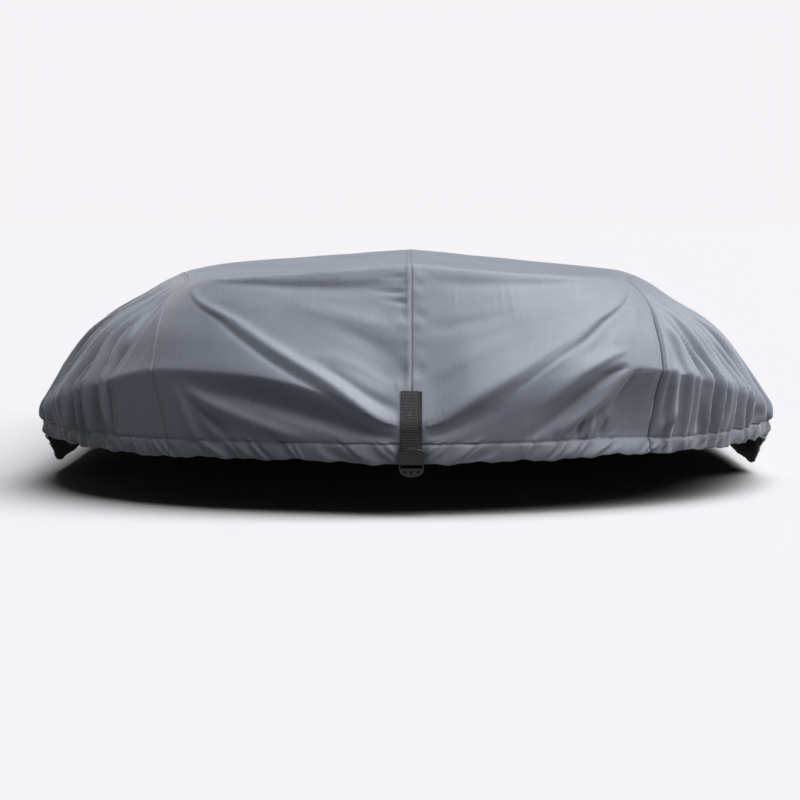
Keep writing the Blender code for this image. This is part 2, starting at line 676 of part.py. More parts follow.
def profile_of_centre_line():
    """Height and place along Y of the cloth's outer surface on the centre line, from hem to crest."""
    v = np.linspace(0.0, CREST_V, 120)
    outer, _ = cloth_points("port", np.zeros_like(v), v)
    return outer[:, 2], outer[:, 1]


def bar_centre():
    """The bar's centre, clear of the cloth by the webbing that turns round it."""
    z = RIDGE_TOP - BAR_DROP
    surface = float(np.interp(z, *profile_of_centre_line()))
    return surface - (BAR_RADIUS + WEBBING_THICKNESS + 3 * SEAM_GAP), z


def slab(name, outline_xz, front_y, back_y):
    """An outline in x and z, carried from one depth to another."""
    shape = bmesh.new()
    lower = [shape.verts.new((x, front_y, z)) for x, z in outline_xz]
    upper = [shape.verts.new((x, back_y, z)) for x, z in outline_xz]
    count = len(outline_xz)
    for k in range(count):
        shape.faces.new((lower[k], lower[(k + 1) % count], upper[(k + 1) % count], upper[k]))
    shape.faces.new(lower[::-1])
    shape.faces.new(upper)
    bmesh.ops.recalc_face_normals(shape, faces=shape.faces)
    mesh = bpy.data.meshes.new(name)
    shape.to_mesh(mesh)
    shape.free()
    made = bpy.data.objects.new(name, mesh)
    bpy.context.scene.collection.objects.link(made)
    return made


def combine(body, tool, operation):
    tool.hide_render = True
    tool.display_type = "WIRE"
    boolean = body.modifiers.new(operation.title(), "BOOLEAN")
    boolean.operation = operation
    boolean.solver = "EXACT"
    boolean.object = tool


def rectangle(half_width, low, high):
    return [(-half_width, low), (half_width, low), (half_width, high), (-half_width, high)]


def arc(centre_z, half_width, height, degrees):
    return [(half_width * math.cos(a), centre_z + height * math.sin(a)) for a in np.radians(degrees)]


def buckle(colour):
    """A moulded ladder lock: an arched front plate before the bar that the webbing turns round, a slot for a
    loose strap under the plate, and a rounded grip tab with three holes."""
    bar_y, bar_z = bar_centre()
    plate_back = bar_y - (BAR_RADIUS + WEBBING_THICKNESS + 2 * SEAM_GAP)
    front = plate_back - BUCKLE_PLATE
    back = bar_y + BAR_RADIUS
    half = BUCKLE_WIDTH / 2
    top = RIDGE_TOP - BUCKLE_TOP_DROP
    body_low = RIDGE_TOP - BUCKLE_BODY_DROP
    tab_height = BUCKLE_BOTTOM_DROP - BUCKLE_BODY_DROP
    arch = arc(top - BUCKLE_ARCH, half, BUCKLE_ARCH, range(0, 181, ARC_STEP))
    tab = arc(body_low, TAB_HALF_WIDTH, tab_height, range(180, 361, ARC_STEP))
    body = slab("bow_buckle", arch + tab, front, back)
    body.data.materials.append(colour)

    inner_half = WEBBING_WIDTH / 2 + BUCKLE_SIDE_PLAY
    pocket_low = bar_z - (BAR_RADIUS + WEBBING_THICKNESS + 4 * SEAM_GAP)
    pocket = rectangle(inner_half, pocket_low, top + BUCKLE_ARCH)
    combine(body, slab("webbing_pocket", pocket, plate_back, back + BUCKLE_PLATE), "DIFFERENCE")
    slot = rectangle(inner_half, body_low + BUCKLE_RUNG, body_low + BUCKLE_RUNG + BUCKLE_SLOT)
    combine(body, slab("strap_slot", slot, front - BUCKLE_PLATE, back + BUCKLE_PLATE), "DIFFERENCE")
    for number, drop in enumerate(GRIP_HOLE_DROPS):
        x = (number - 1) * GRIP_HOLE_PITCH
        base = body_low - GRIP_HOLE_MARGIN
        triangle = [(x - GRIP_HOLE_HALF, base), (x, base - drop), (x + GRIP_HOLE_HALF, base)]
        hole = slab("grip_hole_%d" % number, triangle, front - BUCKLE_PLATE, back + BUCKLE_PLATE)
        combine(body, hole, "DIFFERENCE")
    bpy.ops.mesh.primitive_cylinder_add(
        vertices=BAR_SIDES,
        radius=BAR_RADIUS,
        depth=2 * inner_half + BUCKLE_PLATE,
        location=(0.0, bar_y, bar_z),
        rotation=(0.0, math.pi / 2, 0.0),
    )
    bar = bpy.context.object
    bar.name = "webbing_bar"
    combine(body, bar, "UNION")
    return body


def main():
    clear_scene()
    cloth = material("coated_polyester", CLOTH_GREY, 0.55)
    band = material("black_webbing", WEBBING_BLACK, 0.80)
    moulded = material("black_acetal", BUCKLE_BLACK, 0.35)
    for side in ("starboard", "port"):
        middle_panel(side, cloth)
        side_panel(side, cloth)
    webbing(band)
    buckle(moulded)


main()
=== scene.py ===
"""Looks of a fitted boat cover, as it hangs in place.

Metres, +Z up, bow towards -Y, port towards +X, origin on the centre line under the top of the cloth.
"""

import math

import bpy
import numpy as np
from mathutils import Euler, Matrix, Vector
from mathutils.geometry import delaunay_2d_cdt


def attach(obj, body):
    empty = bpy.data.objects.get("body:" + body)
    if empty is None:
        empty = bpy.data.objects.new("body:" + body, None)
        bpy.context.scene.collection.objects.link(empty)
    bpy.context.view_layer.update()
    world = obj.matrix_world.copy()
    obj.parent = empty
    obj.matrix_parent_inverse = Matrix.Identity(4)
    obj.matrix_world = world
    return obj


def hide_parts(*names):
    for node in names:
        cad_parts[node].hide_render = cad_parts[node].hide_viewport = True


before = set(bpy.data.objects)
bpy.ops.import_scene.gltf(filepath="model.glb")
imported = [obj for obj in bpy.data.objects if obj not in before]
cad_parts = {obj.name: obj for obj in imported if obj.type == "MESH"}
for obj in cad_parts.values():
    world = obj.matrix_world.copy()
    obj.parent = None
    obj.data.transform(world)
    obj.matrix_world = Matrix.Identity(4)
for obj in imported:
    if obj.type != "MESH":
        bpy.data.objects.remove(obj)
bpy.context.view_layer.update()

# ---- Middle panels ----
# Two lengths of woven polyester, joined by a flat fell along the centre, run from the bow over the top to
# the stern. The webbing pulls them into long folds at the bow, and elastic draws in their turned-up hem. All
# panels are cut from the one surface that is worked out here, so that their edges meet.


class Table:
    """Rows of numbers under named columns, read as smooth curves along the first column."""

    def __init__(self, columns, *rows):
        self.columns = columns.split()
        self.rows = np.array(rows)

    def column(self, name):
        return self.rows[:, self.columns.index(name)]

    def at(self, place, name, along=None):
        """Cubic between rows: each piece meets the next with the same slope, the mean of its neighbours'."""
        known = self.rows[:, 0] if along is None else along
        value = self.column(name)
        step = np.diff(known)
        rise = np.diff(value) / step
        between = (rise[:-1] * step[1:] + rise[1:] * step[:-1]) / (step[:-1] + step[1:])
        slope = np.concatenate([rise[:1], between, rise[-1:]])
        place = np.clip(place, known[0], known[-1])
        k = np.clip(np.searchsorted(known, place, side="right") - 1, 0, len(step) - 1)
        u = (place - known[k]) / step[k]
        start = value[k] * (1 + 2 * u) * (1 - u) ** 2 + slope[k] * step[k] * u * (1 - u) ** 2
        end = value[k + 1] * u * u * (3 - 2 * u) - slope[k + 1] * step[k] * u * u * (1 - u)
        return start + end


# A place on the cloth is s, metres round half the outline from the bow's middle to the stern's, and v, from 0
# at the hem to 1 on the ridge. Marks of v are at the casing's stitches and at the corners of a section.
LENGTH = 3.00
HALF_BEAM = {"starboard": 0.787, "port": 0.761}
OUTLINE_HALF_BEAM = 0.776
BOW_LENGTH, BOW_ROUNDNESS = 0.90, 2.2
STERN_LENGTH, STERN_ROUNDNESS = 0.55, 2.6
RIDGE_TOP, HEM_DEPTH, SEAM_GAP = 0.0022, 0.038, 0.0003
STITCH_V, BREAK_V, KNEE_V, CREST_V, RIDGE_V = 0.035, 0.15, 0.30, 0.50, 1.00

SECTIONS = Table(
    "s     hem_in hem_drop break_in break_drop knee_in knee_drop crest_in crest_drop",
    (0.00, 0.010, 0.385, 0.002, 0.312, 0.078, 0.165, 0.160, 0.014),
    (0.04, 0.010, 0.385, 0.002, 0.308, 0.078, 0.163, 0.160, 0.016),
    (0.12, 0.020, 0.385, 0.002, 0.268, 0.076, 0.152, 0.158, 0.023),
    (0.25, 0.030, 0.385, 0.004, 0.232, 0.074, 0.138, 0.156, 0.031),
    (0.42, 0.034, 0.386, 0.006, 0.218, 0.068, 0.120, 0.150, 0.039),
    (0.52, 0.034, 0.388, 0.008, 0.216, 0.066, 0.124, 0.160, 0.042),
    (0.68, 0.030, 0.388, 0.010, 0.241, 0.080, 0.136, 0.204, 0.046),
    (0.87, 0.024, 0.386, 0.010, 0.277, 0.108, 0.144, 0.260, 0.042),
    (1.02, 0.018, 0.384, 0.008, 0.312, 0.122, 0.147, 0.286, 0.039),
    (1.11, 0.012, 0.386, 0.007, 0.320, 0.124, 0.148, 0.290, 0.037),
    (1.21, 0.008, 0.394, 0.006, 0.328, 0.125, 0.148, 0.292, 0.036),
    (1.32, 0.006, 0.422, 0.006, 0.332, 0.125, 0.149, 0.293, 0.035),
    (1.43, 0.006, 0.462, 0.006, 0.332, 0.125, 0.150, 0.293, 0.035),
    (1.60, 0.008, 0.466, 0.006, 0.332, 0.125, 0.150, 0.293, 0.035),
    (2.20, 0.008, 0.452, 0.006, 0.332, 0.125, 0.150, 0.293, 0.037),
    (2.90, 0.008, 0.446, 0.006, 0.328, 0.122, 0.150, 0.284, 0.045),
    (3.35, 0.010, 0.442, 0.008, 0.310, 0.105, 0.140, 0.215, 0.058),
    (3.75, 0.010, 0.440, 0.008, 0.300, 0.090, 0.132, 0.170, 0.052),
    (3.95, 0.010, 0.440, 0.008, 0.300, 0.090, 0.132, 0.170, 0.048),
)
# How much lower the port side hangs at two of the corners
PORT_LOWER = Table(
    "s     knee   crest",
    (0.00, 0.000, 0.000),
    (0.90, 0.003, 0.000),
    (1.30, 0.009, 0.004),
    (1.80, 0.009, 0.009),
    (4.05, 0.009, 0.009),
)
CORNER_ROUNDS = Table(
    "s     break_starboard break_port knee  crest",
    (0.00, 0.012, 0.012, 0.045, 0.012),
    (0.10, 0.008, 0.016, 0.045, 0.009),
    (0.25, 0.006, 0.045, 0.045, 0.009),
    (0.38, 0.006, 0.035, 0.050, 0.012),
    (0.48, 0.006, 0.012, 0.050, 0.018),
    (0.80, 0.006, 0.010, 0.055, 0.050),
    (1.40, 0.012, 0.012, 0.060, 0.060),
    (4.05, 0.014, 0.014, 0.060, 0.060),
)
RIDGE = Table(
    "s     meets_y  drop",
    (0.00, -1.060, 0.012),
    (0.50, -0.860, 0.010),
    (1.34, -0.500, 0.003),
    (2.00, 0.060, 0.000),
    (3.00, 0.860, 0.012),
    (4.05, 1.120, 0.024),
)
BOW_SEAM = Table(
    "v     starboard port",
    (0.00, 0.515, 0.528),
    (0.07, 0.524, 0.535),
    (0.15, 0.540, 0.546),
    (0.22, 0.558, 0.567),
    (0.29, 0.584, 0.593),
    (0.39, 0.645, 0.650),
    (0.50, 0.730, 0.735),
)
STERN_SEAM_FROM_END = 0.440


def smooth_step(x, low, high):
    u = np.clip((x - low) / (high - low), 0.0, 1.0)
    return u * u * (3 - 2 * u)


def soft_ramp(x, reach):
    """0 below -reach, x above reach, and a parabola between them."""
    return np.where(x <= -reach, 0.0, np.where(x >= reach, x, (x + reach) ** 2 / (4 * reach)))


def bell(x, width):
    return np.exp(-((x / width) ** 2))


def waves(at, *parts):
    """Sum of sine waves, each given by its size, its rate and its start."""
    return sum(size * np.sin(at * rate + start) for size, rate, start in parts)


def unit(vectors):
    return vectors / np.linalg.norm(vectors, axis=-1, keepdims=True)


def run_along(points):
    """Distance along a line of points, at each of them."""
    return np.concatenate([[0.0], np.cumsum(np.linalg.norm(np.diff(points, axis=0), axis=1))])


def outline():
    """Points of half the plan outline: a quarter superellipse at each end and a straight side between."""
    turn = np.linspace(0, math.pi / 2, 3001)
    bow_x = OUTLINE_HALF_BEAM * np.sin(turn) ** (2 / BOW_ROUNDNESS)
    bow_y = -LENGTH / 2 + BOW_LENGTH * (1 - np.cos(turn) ** (2 / BOW_ROUNDNESS))
    stern_x = OUTLINE_HALF_BEAM * np.cos(turn) ** (2 / STERN_ROUNDNESS)
    stern_y = LENGTH / 2 - STERN_LENGTH * (1 - np.sin(turn) ** (2 / STERN_ROUNDNESS))
    return np.stack([np.concatenate([bow_x, stern_x]), np.concatenate([bow_y, stern_y])], axis=1)


outline_points = outline()
outline_s = run_along(outline_points)
half_girth = float(outline_s[-1])


def outline_point(s):
    return [np.interp(s, outline_s, column) for column in outline_points.T]


def inward(s, step=0.012):
    """Unit plan direction square to the outline, pointing in; along the centre line at both ends."""
    before = outline_point(np.maximum(s - step, 0.0))
    after = outline_point(np.minimum(s + step, half_girth))
    along_x = after[0] - before[0]
    along_y = after[1] - before[1]
    length = np.hypot(along_x, along_y)
    x = -along_y / length * smooth_step(np.minimum(s, half_girth - s), 0.0, 2 * step)
    y = along_x / length
    size = np.hypot(x, y)
    return x / size, y / size


def base_surface(side, s, v):
    """The cloth without folds: at each s a section from hem to ridge, straight between rounded corners. Also
    gives how far up the section the point lies from the hem, and from the crest."""
    out_x, out_y = outline_point(s)
    in_x, in_y = inward(s)
    widen = HALF_BEAM[side] / OUTLINE_HALF_BEAM

    def corner(name):
        inset = SECTIONS.at(s, name + "_in")
        drop = SECTIONS.at(s, name + "_drop")
        if side == "port" and name in PORT_LOWER.columns:
            drop = drop + PORT_LOWER.at(s, name)
        return np.stack([(out_x + in_x * inset) * widen, out_y + in_y * inset, RIDGE_TOP - drop], axis=-1)

    ridge = np.stack([0.0 * s, RIDGE.at(s, "meets_y"), RIDGE_TOP - RIDGE.at(s, "drop")], axis=-1)
    corners = [corner(name) for name in ("hem", "break", "knee", "crest")] + [ridge]
    lengths = [np.linalg.norm(b - a, axis=-1) for a, b in zip(corners, corners[1:])]
    ways = [(b - a) / length[..., None] for a, b, length in zip(corners, corners[1:], lengths)]
    marks = np.concatenate([[0.0 * s], np.cumsum(lengths, axis=0)])
    levels = (0.0, STITCH_V, BREAK_V, KNEE_V, CREST_V, RIDGE_V)
    runs = [marks[0], marks[0] + HEM_DEPTH, *marks[1:]]
    run = 0.0 * s
    for low, high, start, end in zip(levels, levels[1:], runs, runs[1:]):
        run = run + np.clip((v - low) / (high - low), 0.0, 1.0) * (end - start)
    point = corners[0] + ways[0] * run[..., None]
    for name, mark, before, after in zip(("break_" + side, "knee", "crest"), marks[1:], ways, ways[1:]):
        bend = soft_ramp(run - mark, CORNER_ROUNDS.at(s, name))
        point = point + (after - before) * bend[..., None]
    return point * np.array([1.0 if side == "port" else -1.0, 1.0, 1.0]), run, run - marks[4]


def fold(*rows):
    """One fold of the bow, given in millimetres but for v, which is in thousandths."""
    return Table("s v height above below", *np.array(rows) / 1000)


# Each fold is a ridge, or a trough where its height is negative, along its own path of s and v. It reaches as
# far up and down the cloth from its line as the columns above and below say.
FOLDS = {
    "starboard": (
        # the long fold from the shoulder to the webbing, and the crease under it
        fold((600, 468, 0, 10, 8), (480, 368, 3.2, 14, 10), (333, 270, 5.2, 17, 12), (198, 194, 7.8, 20, 13),
             (85, 150, 8, 20, 13), (24, 146, 2.6, 16, 10)),
        fold((580, 436, 0, 5, 7), (470, 344, -1.2, 5, 8), (348, 251, -2.2, 6, 9), (240, 184, -2.6, 6, 10),
             (160, 151, -1.8, 6, 10), (90, 136, 0, 6, 9)),
        # the short soft fold above the webbing and the hollow under it
        fold((225, 234, 0, 14, 10), (150, 242, 1.4, 16, 11), (88, 236, 1.8, 16, 10), (30, 220, 0.6, 12, 8)),
        fold((190, 224, 0, 12, 10), (155, 208, -2.4, 12, 9), (98, 188, -4.2, 12, 9),
             (50, 182, -4.8, 12, 9), (24, 178, -1.6, 10, 9)),
        # a broad shaded dip beside the centre seam
        fold((150, 252, 0, 50, 20), (95, 247, -3, 55, 22), (48, 240, -5.2, 58, 22),
             (18, 237, -3.2, 54, 20), (5, 236, 0, 50, 20)),
        # the deep hollow tucked under the break
        fold((500, 134, 0, 14, 10), (420, 122, -8, 24, 12), (330, 112, -15, 32, 15), (230, 96, -18, 36, 16),
             (130, 80, -16, 36, 18), (50, 70, -6, 34, 18), (24, 68, 0, 30, 16)),
        # the ridge under it and the smaller ones that fan down to the hem
        fold((484, 138, 0, 6, 8), (420, 108, 5.8, 9, 11), (330, 78, 8, 10, 13),
             (250, 56, 7, 10, 12), (190, 42, 0, 9, 9)),
        fold((480, 118, 0, 8, 8), (462, 88, 4.6, 10, 10), (446, 52, 4.4, 10, 10), (438, 32, 0, 9, 9)),
        fold((446, 106, 0, 7, 7), (415, 82, -5.2, 8, 9), (375, 56, -5.6, 9, 9), (350, 36, 0, 8, 8)),
        fold((430, 82, 0, 7, 7), (412, 66, 4.2, 8, 8), (392, 48, 4, 8, 8), (380, 34, 0, 7, 7)),
        fold((290, 60, 0, 6, 7), (268, 49, -4.8, 6, 7), (248, 38, -4.4, 6, 7), (238, 30, 0, 6, 7)),
        # soft slack under the crest and across the panel
        fold((560, 486, 0, 10, 18), (400, 466, -2.6, 12, 22), (240, 452, -4.4, 14, 24),
             (100, 448, -3.4, 14, 22), (30, 452, -1, 12, 18)),
        fold((330, 410, 0, 20, 20), (180, 368, 2.2, 26, 22), (80, 346, 2.6, 24, 20), (30, 340, 0.6, 18, 18)),
        fold((170, 322, 0, 14, 14), (100, 302, -2, 16, 18), (50, 286, -2.2, 16, 20), (26, 276, -0.6, 14, 18)),
        # puckers where the centre seam draws the cloth in
        fold((75, 471, 0, 6, 6), (40, 467, -1.6, 7, 6), (14, 469, -2.2, 6, 6), (6, 469, 0, 5, 5)),
        fold((100, 440, 0, 6, 6), (55, 432, -2.2, 7, 6), (16, 430, -3, 6, 6), (6, 430, 0, 5, 5)),
        fold((65, 412, 0, 5, 5), (36, 406, -2, 6, 5), (14, 403, -3, 6, 5), (6, 403, 0, 5, 5)),
        # shoulder tension that runs up to the corner of the crest
        fold((556, 180, 0, 12, 10), (590, 280, 2.2, 14, 12), (640, 370, 3, 14, 14), (700, 460, 0.6, 12, 12)),
    ),
    "port": (
        # the long fold and the crease under it
        fold((600, 462, 0, 16, 8), (440, 322, 4, 26, 12), (290, 230, 6.2, 34, 15), (170, 168, 7.4, 36, 18),
             (65, 144, 6.6, 26, 16), (24, 137, 2, 16, 10)),
        fold((600, 440, 0, 5, 6), (500, 358, -2.2, 5, 8), (390, 263, -3.4, 6, 9), (300, 204, -3.6, 7, 10),
             (235, 163, -2.2, 7, 10), (180, 130, 0, 7, 10)),
        # a second softer fold beside it, and a faint one that crosses the shoulder
        fold((430, 318, 0, 10, 10), (350, 238, 3, 14, 10), (280, 186, 3.4, 14, 10), (220, 152, 0, 10, 10)),
        fold((500, 330, 0, 12, 12), (440, 270, -1.8, 14, 14), (380, 216, -1.8, 12, 12),
             (340, 190, 0, 10, 10)),
        # the shaded tuck under the break beside the webbing
        fold((250, 146, 0, 20, 16), (180, 124, -3.6, 30, 20), (100, 96, -7, 34, 22),
             (40, 78, -3.6, 32, 18), (24, 74, 0, 28, 16)),
        # light fold above the large hollow
        fold((468, 212, 0, 12, 7), (425, 196, 4.6, 18, 8), (355, 160, 5.6, 20, 9),
             (285, 120, 4, 18, 10), (230, 90, 0, 14, 10)),
        # the large hollow
        fold((458, 170, 0, 9, 9), (428, 156, -9, 13, 10), (372, 124, -13, 18, 12), (305, 84, -12.4, 20, 12),
             (250, 54, -6, 16, 10), (215, 38, 0, 12, 9)),
        # the ridge under it, its own hollow, and the short creases by the seam
        fold((478, 160, 0, 7, 8), (432, 128, 2.6, 8, 8), (376, 92, 6.6, 9, 9),
             (320, 62, 6.2, 9, 9), (285, 44, 0, 8, 8)),
        fold((440, 112, 0, 6, 8), (405, 86, -5.6, 7, 9), (366, 62, -5.6, 7, 9), (336, 44, 0, 7, 8)),
        fold((488, 158, 0, 7, 7), (466, 132, -5.6, 10, 8), (438, 98, -5, 10, 8), (420, 72, 0, 8, 7)),
        fold((356, 74, 0, 6, 6), (352, 58, -7, 6, 7), (344, 42, -6, 6, 7), (338, 30, 0, 6, 6)),
        fold((386, 80, 0, 6, 6), (380, 62, 6, 6, 6), (370, 44, 5.4, 6, 6), (364, 30, 0, 6, 6)),
        fold((418, 74, 0, 6, 6), (412, 58, -5.4, 6, 6), (402, 44, -5, 6, 6), (398, 32, 0, 6, 6)),
        # the cloth hangs in below the break beside the seam, most at the casing
        fold((540, 118, -4, 28, 50), (505, 112, -8, 30, 52), (460, 98, -8, 30, 46), (410, 80, 0, 22, 30)),
        fold((580, 50, 0, 80, 30), (510, 50, -13, 85, 30), (440, 48, -18, 82, 28), (370, 44, -13, 70, 25),
             (300, 41, -5, 50, 21), (250, 40, 0, 40, 18)),
        # a slanting pucker on the quarter just above the casing
        fold((604, 100, 0, 10, 8), (576, 74, 5.8, 11, 9), (556, 52, 5.4, 10, 8), (546, 38, 0, 9, 7)),
        # slack under the crest and beside the centre seam
        fold((580, 486, 0, 10, 18), (400, 468, -1.8, 12, 20), (240, 460, -2.2, 14, 22),
             (100, 458, -2, 14, 22), (24, 462, -0.6, 12, 18)),
        fold((260, 372, 0, 18, 18), (150, 346, -1.8, 18, 20), (70, 338, -2, 18, 20), (24, 340, 0, 14, 16)),
        fold((240, 296, 0, 18, 16), (140, 262, 1.8, 20, 18), (70, 244, 1.8, 18, 16), (30, 234, 0, 14, 14)),
        # faint creases pressed in while the cover lay folded
        fold((206, 480, 0, 3, 3), (206, 445, 0.7, 3, 3), (204, 390, 0.6, 3, 3), (203, 350, 0, 3, 3)),
        fold((228, 480, 0, 3, 3), (228, 440, 0.6, 3, 3), (226, 380, 0.7, 3, 3), (225, 330, 0, 3, 3)),
        fold((96, 470, 0, 3, 3), (96, 440, 0.5, 3, 3), (95, 400, 0.5, 3, 3), (94, 370, 0, 3, 3)),
        # shoulder tension beside the seam
        fold((500, 240, 0, 12, 10), (526, 310, 1.6, 14, 12), (580, 390, 2, 14, 14), (640, 460, 0, 12, 10)),
    ),
}


WEBBING_WIDTH, WEBBING_TOP_V = 0.040, 0.212


def off_webbing(s, v, beside, over):
    """0 on the cloth that the webbing holds flat and 1 past these widths beside it and over its upper end."""
    above_end = v - WEBBING_TOP_V - 0.004
    return np.maximum(smooth_step(s - WEBBING_WIDTH / 2, 0.0, beside), smooth_step(above_end, 0.0, over))


def fold_height(side, s, v):
    """Sum of the folds. Across its line a fold is a bell curve with one width up the cloth and one down it;
    along its line every column is a smooth curve through its rows."""
    height = 0.0 * s
    for table in FOLDS[side]:
        chord = run_along(table.rows[:, :2])
        at = np.linspace(0.0, chord[-1], 60)
        path_s, path_v, high, above, below = [table.at(at, name, chord) for name in table.columns]
        reach = 3 * max(table.column("above").max(), table.column("below").max())
        near = (s > path_s.min() - reach) & (s < path_s.max() + reach)
        near &= (v > path_v.min() - reach) & (v < path_v.max() + reach)
        here_s, here_v = s[near], v[near]
        k = np.argmin((here_s[:, None] - path_s) ** 2 + (here_v[:, None] - path_v) ** 2, axis=1)
        way_s, way_v = np.gradient(path_s), np.gradient(path_v)
        ahead = (here_s - path_s[k]) * way_s[k] + (here_v - path_v[k]) * way_v[k]
        place = np.clip(k + np.clip(ahead / (way_s[k] ** 2 + way_v[k] ** 2), -0.6, 0.6), 0, len(at) - 1)
        read = [np.interp(place, np.arange(len(at)), column) for column in (path_s, path_v, way_s, way_v)]
        off_s, off_v = here_s - read[0], here_v - read[1]
        side_of = (off_v * read[2] - off_s * read[3]) * np.sign(path_s[-1] - path_s[0])
        width = np.where(side_of > 0, above[k], below[k])
        height[near] += np.interp(place, np.arange(len(at)), high) * bell(np.hypot(off_s, off_v), width)
    return height * off_webbing(s, v, 0.014, 0.020)


# Pleats that the elastic draws up round the quarters: the place of each crest at the break, and its height
PLEATS = {
    "starboard": Table(
        "s turn height",
        (0.560, -2, 0.0006), (0.640, -1, 0.0014), (0.700, 0, 0.0080), (0.765, 1, 0.0130),
        (0.810, 2, 0.0100), (0.865, 3, 0.0120), (0.930, 4, 0.0140), (1.010, 5, 0.0120),
        (1.090, 6, 0.0130), (1.170, 7, 0.0100), (1.250, 8, 0.0120), (1.340, 9, 0.0100),
        (4.050, 40, 0.0080),
    ),
    "port": Table(
        "s turn height",
        (0.510, -1, 0.0010), (0.578, 0, 0.0090), (0.630, 1, 0.0080), (0.690, 2, 0.0110),
        (0.740, 3, 0.0100), (0.790, 4, 0.0120), (0.850, 5, 0.0110), (0.920, 6, 0.0130),
        (1.000, 7, 0.0120), (1.080, 8, 0.0100), (1.170, 9, 0.0120), (1.260, 10, 0.0100),
        (4.050, 42, 0.0080),
    ),
}
PLEAT_FAN_S, PLEAT_CLOSING = 0.56, 0.22
QUARTER_END = 1.42


def seam_s(side, v):
    return BOW_SEAM.at(v, side)


def pleat_height(side, s, v):
    """Pleats with narrow crests: a cosine raised to a power, uneven from one to the next, that fades towards
    the crest of the cover. Between the large ones run smaller ones at twice their rate. Those of the bow's
    quarter lean towards its shoulder; along the side and the stern they are upright, shorter and lower."""
    up = np.clip((v - BREAK_V) / (CREST_V - BREAK_V), 0.0, 1.0)
    leaning = (s - PLEAT_FAN_S) * smooth_step(s, 2.00, 1.10)
    place = s + leaning * (1 / (1 - PLEAT_CLOSING * up) - 1)
    table = PLEATS[side]
    turn = table.at(place, "turn")
    sway = waves(v, (0.14, 17.0, 0.4), (0.08, 39.0, 1.1)) * waves(turn, (1.0, 2.1, 0.2), (0.5, 5.3, 1.0))
    main = (0.5 + 0.5 * np.cos(2 * math.pi * (turn + sway))) ** 2.1
    small_turn = 2 * turn + 0.35 + 2 * sway + waves(turn, (0.2, 3.3, 0.0))
    small = (0.5 + 0.5 * np.cos(2 * math.pi * small_turn)) ** 1.5
    uneven = 1 + waves(turn, (0.24, 2.7, 0.5), (0.18, 5.9, 1.9))
    wave = (1.62 * main - 0.62) * uneven + 0.62 * small * (1 + waves(turn, (0.8, 4.3, 2.0)))
    past_quarter = smooth_step(s, 1.20, 1.80)
    fade = (1 - smooth_step(up * (1 + 0.8 * past_quarter), 0.20, 1.0)) * (1 - 0.35 * past_quarter)
    at_hem = 0.35 - 0.25 * smooth_step(s, QUARTER_END - 0.25, QUARTER_END)
    hem = at_hem + (1 - at_hem) * smooth_step(v, 0.005, 2.2 * STITCH_V)
    off_seam = smooth_step(s - seam_s(side, np.minimum(v, CREST_V)), 0.004, 0.050)
    return table.at(place, "height") * wave * fade * hem * off_seam


# Metres of cloth to one unit of v just below the crest
METRES_AT_CREST = 0.72


def seam_height(side, s, v):
    """Seams are drawn in to a narrow groove. The centre seam's fell stands up as a flat strip, puckered by
    its stitching; the port seam at the bow has a tuck and a raised lip beside it."""
    height = -0.0014 * bell(np.minimum(s, half_girth - s), 0.0016) * (v < RIDGE_V)
    if side == "starboard":
        height += 0.0004 * smooth_step(s, 0.0135, 0.0095) * smooth_step(s, 0.0006, 0.0036)
    pucker = waves(v, (1.0, 95.0, 0.3), (0.8, 161.0, 1.7), (0.6, 57.0, 2.2))
    height += 0.0007 * pucker * bell(s - 0.016, 0.012) * smooth_step(v, 0.215, 0.24)
    apart = s - seam_s(side, np.minimum(v, CREST_V))
    below_crest = smooth_step(v, CREST_V + 0.012, CREST_V)
    above = smooth_step(v, BREAK_V - 0.01, BREAK_V + 0.08)
    depth = 0.0046 if side == "port" else 0.0018 - 0.0012 * above
    height -= depth * bell(apart, 0.0034) * below_crest
    if side == "port":
        lip = bell(apart - 0.011, 0.007) * (apart > -0.002)
        tuck = bell(apart + 0.008, 0.007)
        span = smooth_step(v, 0.03, 0.12) * smooth_step(v, 0.42, 0.28)
        height += (0.0050 * lip - 0.0030 * tuck) * span
    crest = (v - CREST_V) * METRES_AT_CREST
    past = smooth_step(s, seam_s(side, CREST_V) - 0.01, seam_s(side, CREST_V) + 0.01)
    past = past * smooth_step(half_girth - s, STERN_SEAM_FROM_END - 0.01, STERN_SEAM_FROM_END + 0.01)
    height -= (0.0002 + 0.0005 * smooth_step(s, 1.1, 1.8)) * bell(crest, 0.0030) * past
    return height - 0.0016 * bell(half_girth - STERN_SEAM_FROM_END - s, 0.0034) * below_crest


def slack(s, v):
    """Faint unevenness of cloth that lies nearly flat: long waves that cross each other."""
    broad = waves(s * 1.0 + v * 2.3, (1.0, 13.0, 0.2)) * waves(s * 2.1 - v * 1.4, (1.0, 9.0, 1.3))
    fine = waves(s * 1.7 - v * 1.1, (1.0, 31.0, 0.9)) * waves(s * 1.2 + v * 1.9, (1.0, 27.0, 0.4))
    return (0.0010 * broad + 0.0002 * fine) * off_webbing(s, v, 0.030, 0.034)


# The casing of the hem: the cloth turned up inside over the elastic and stitched, which puckers both plies
CASING_ROUND, PLY_GAP = 0.0030, 0.0034
RUFFLE_PITCH, SIDE_RUFFLE_PITCH = 0.026, 0.060


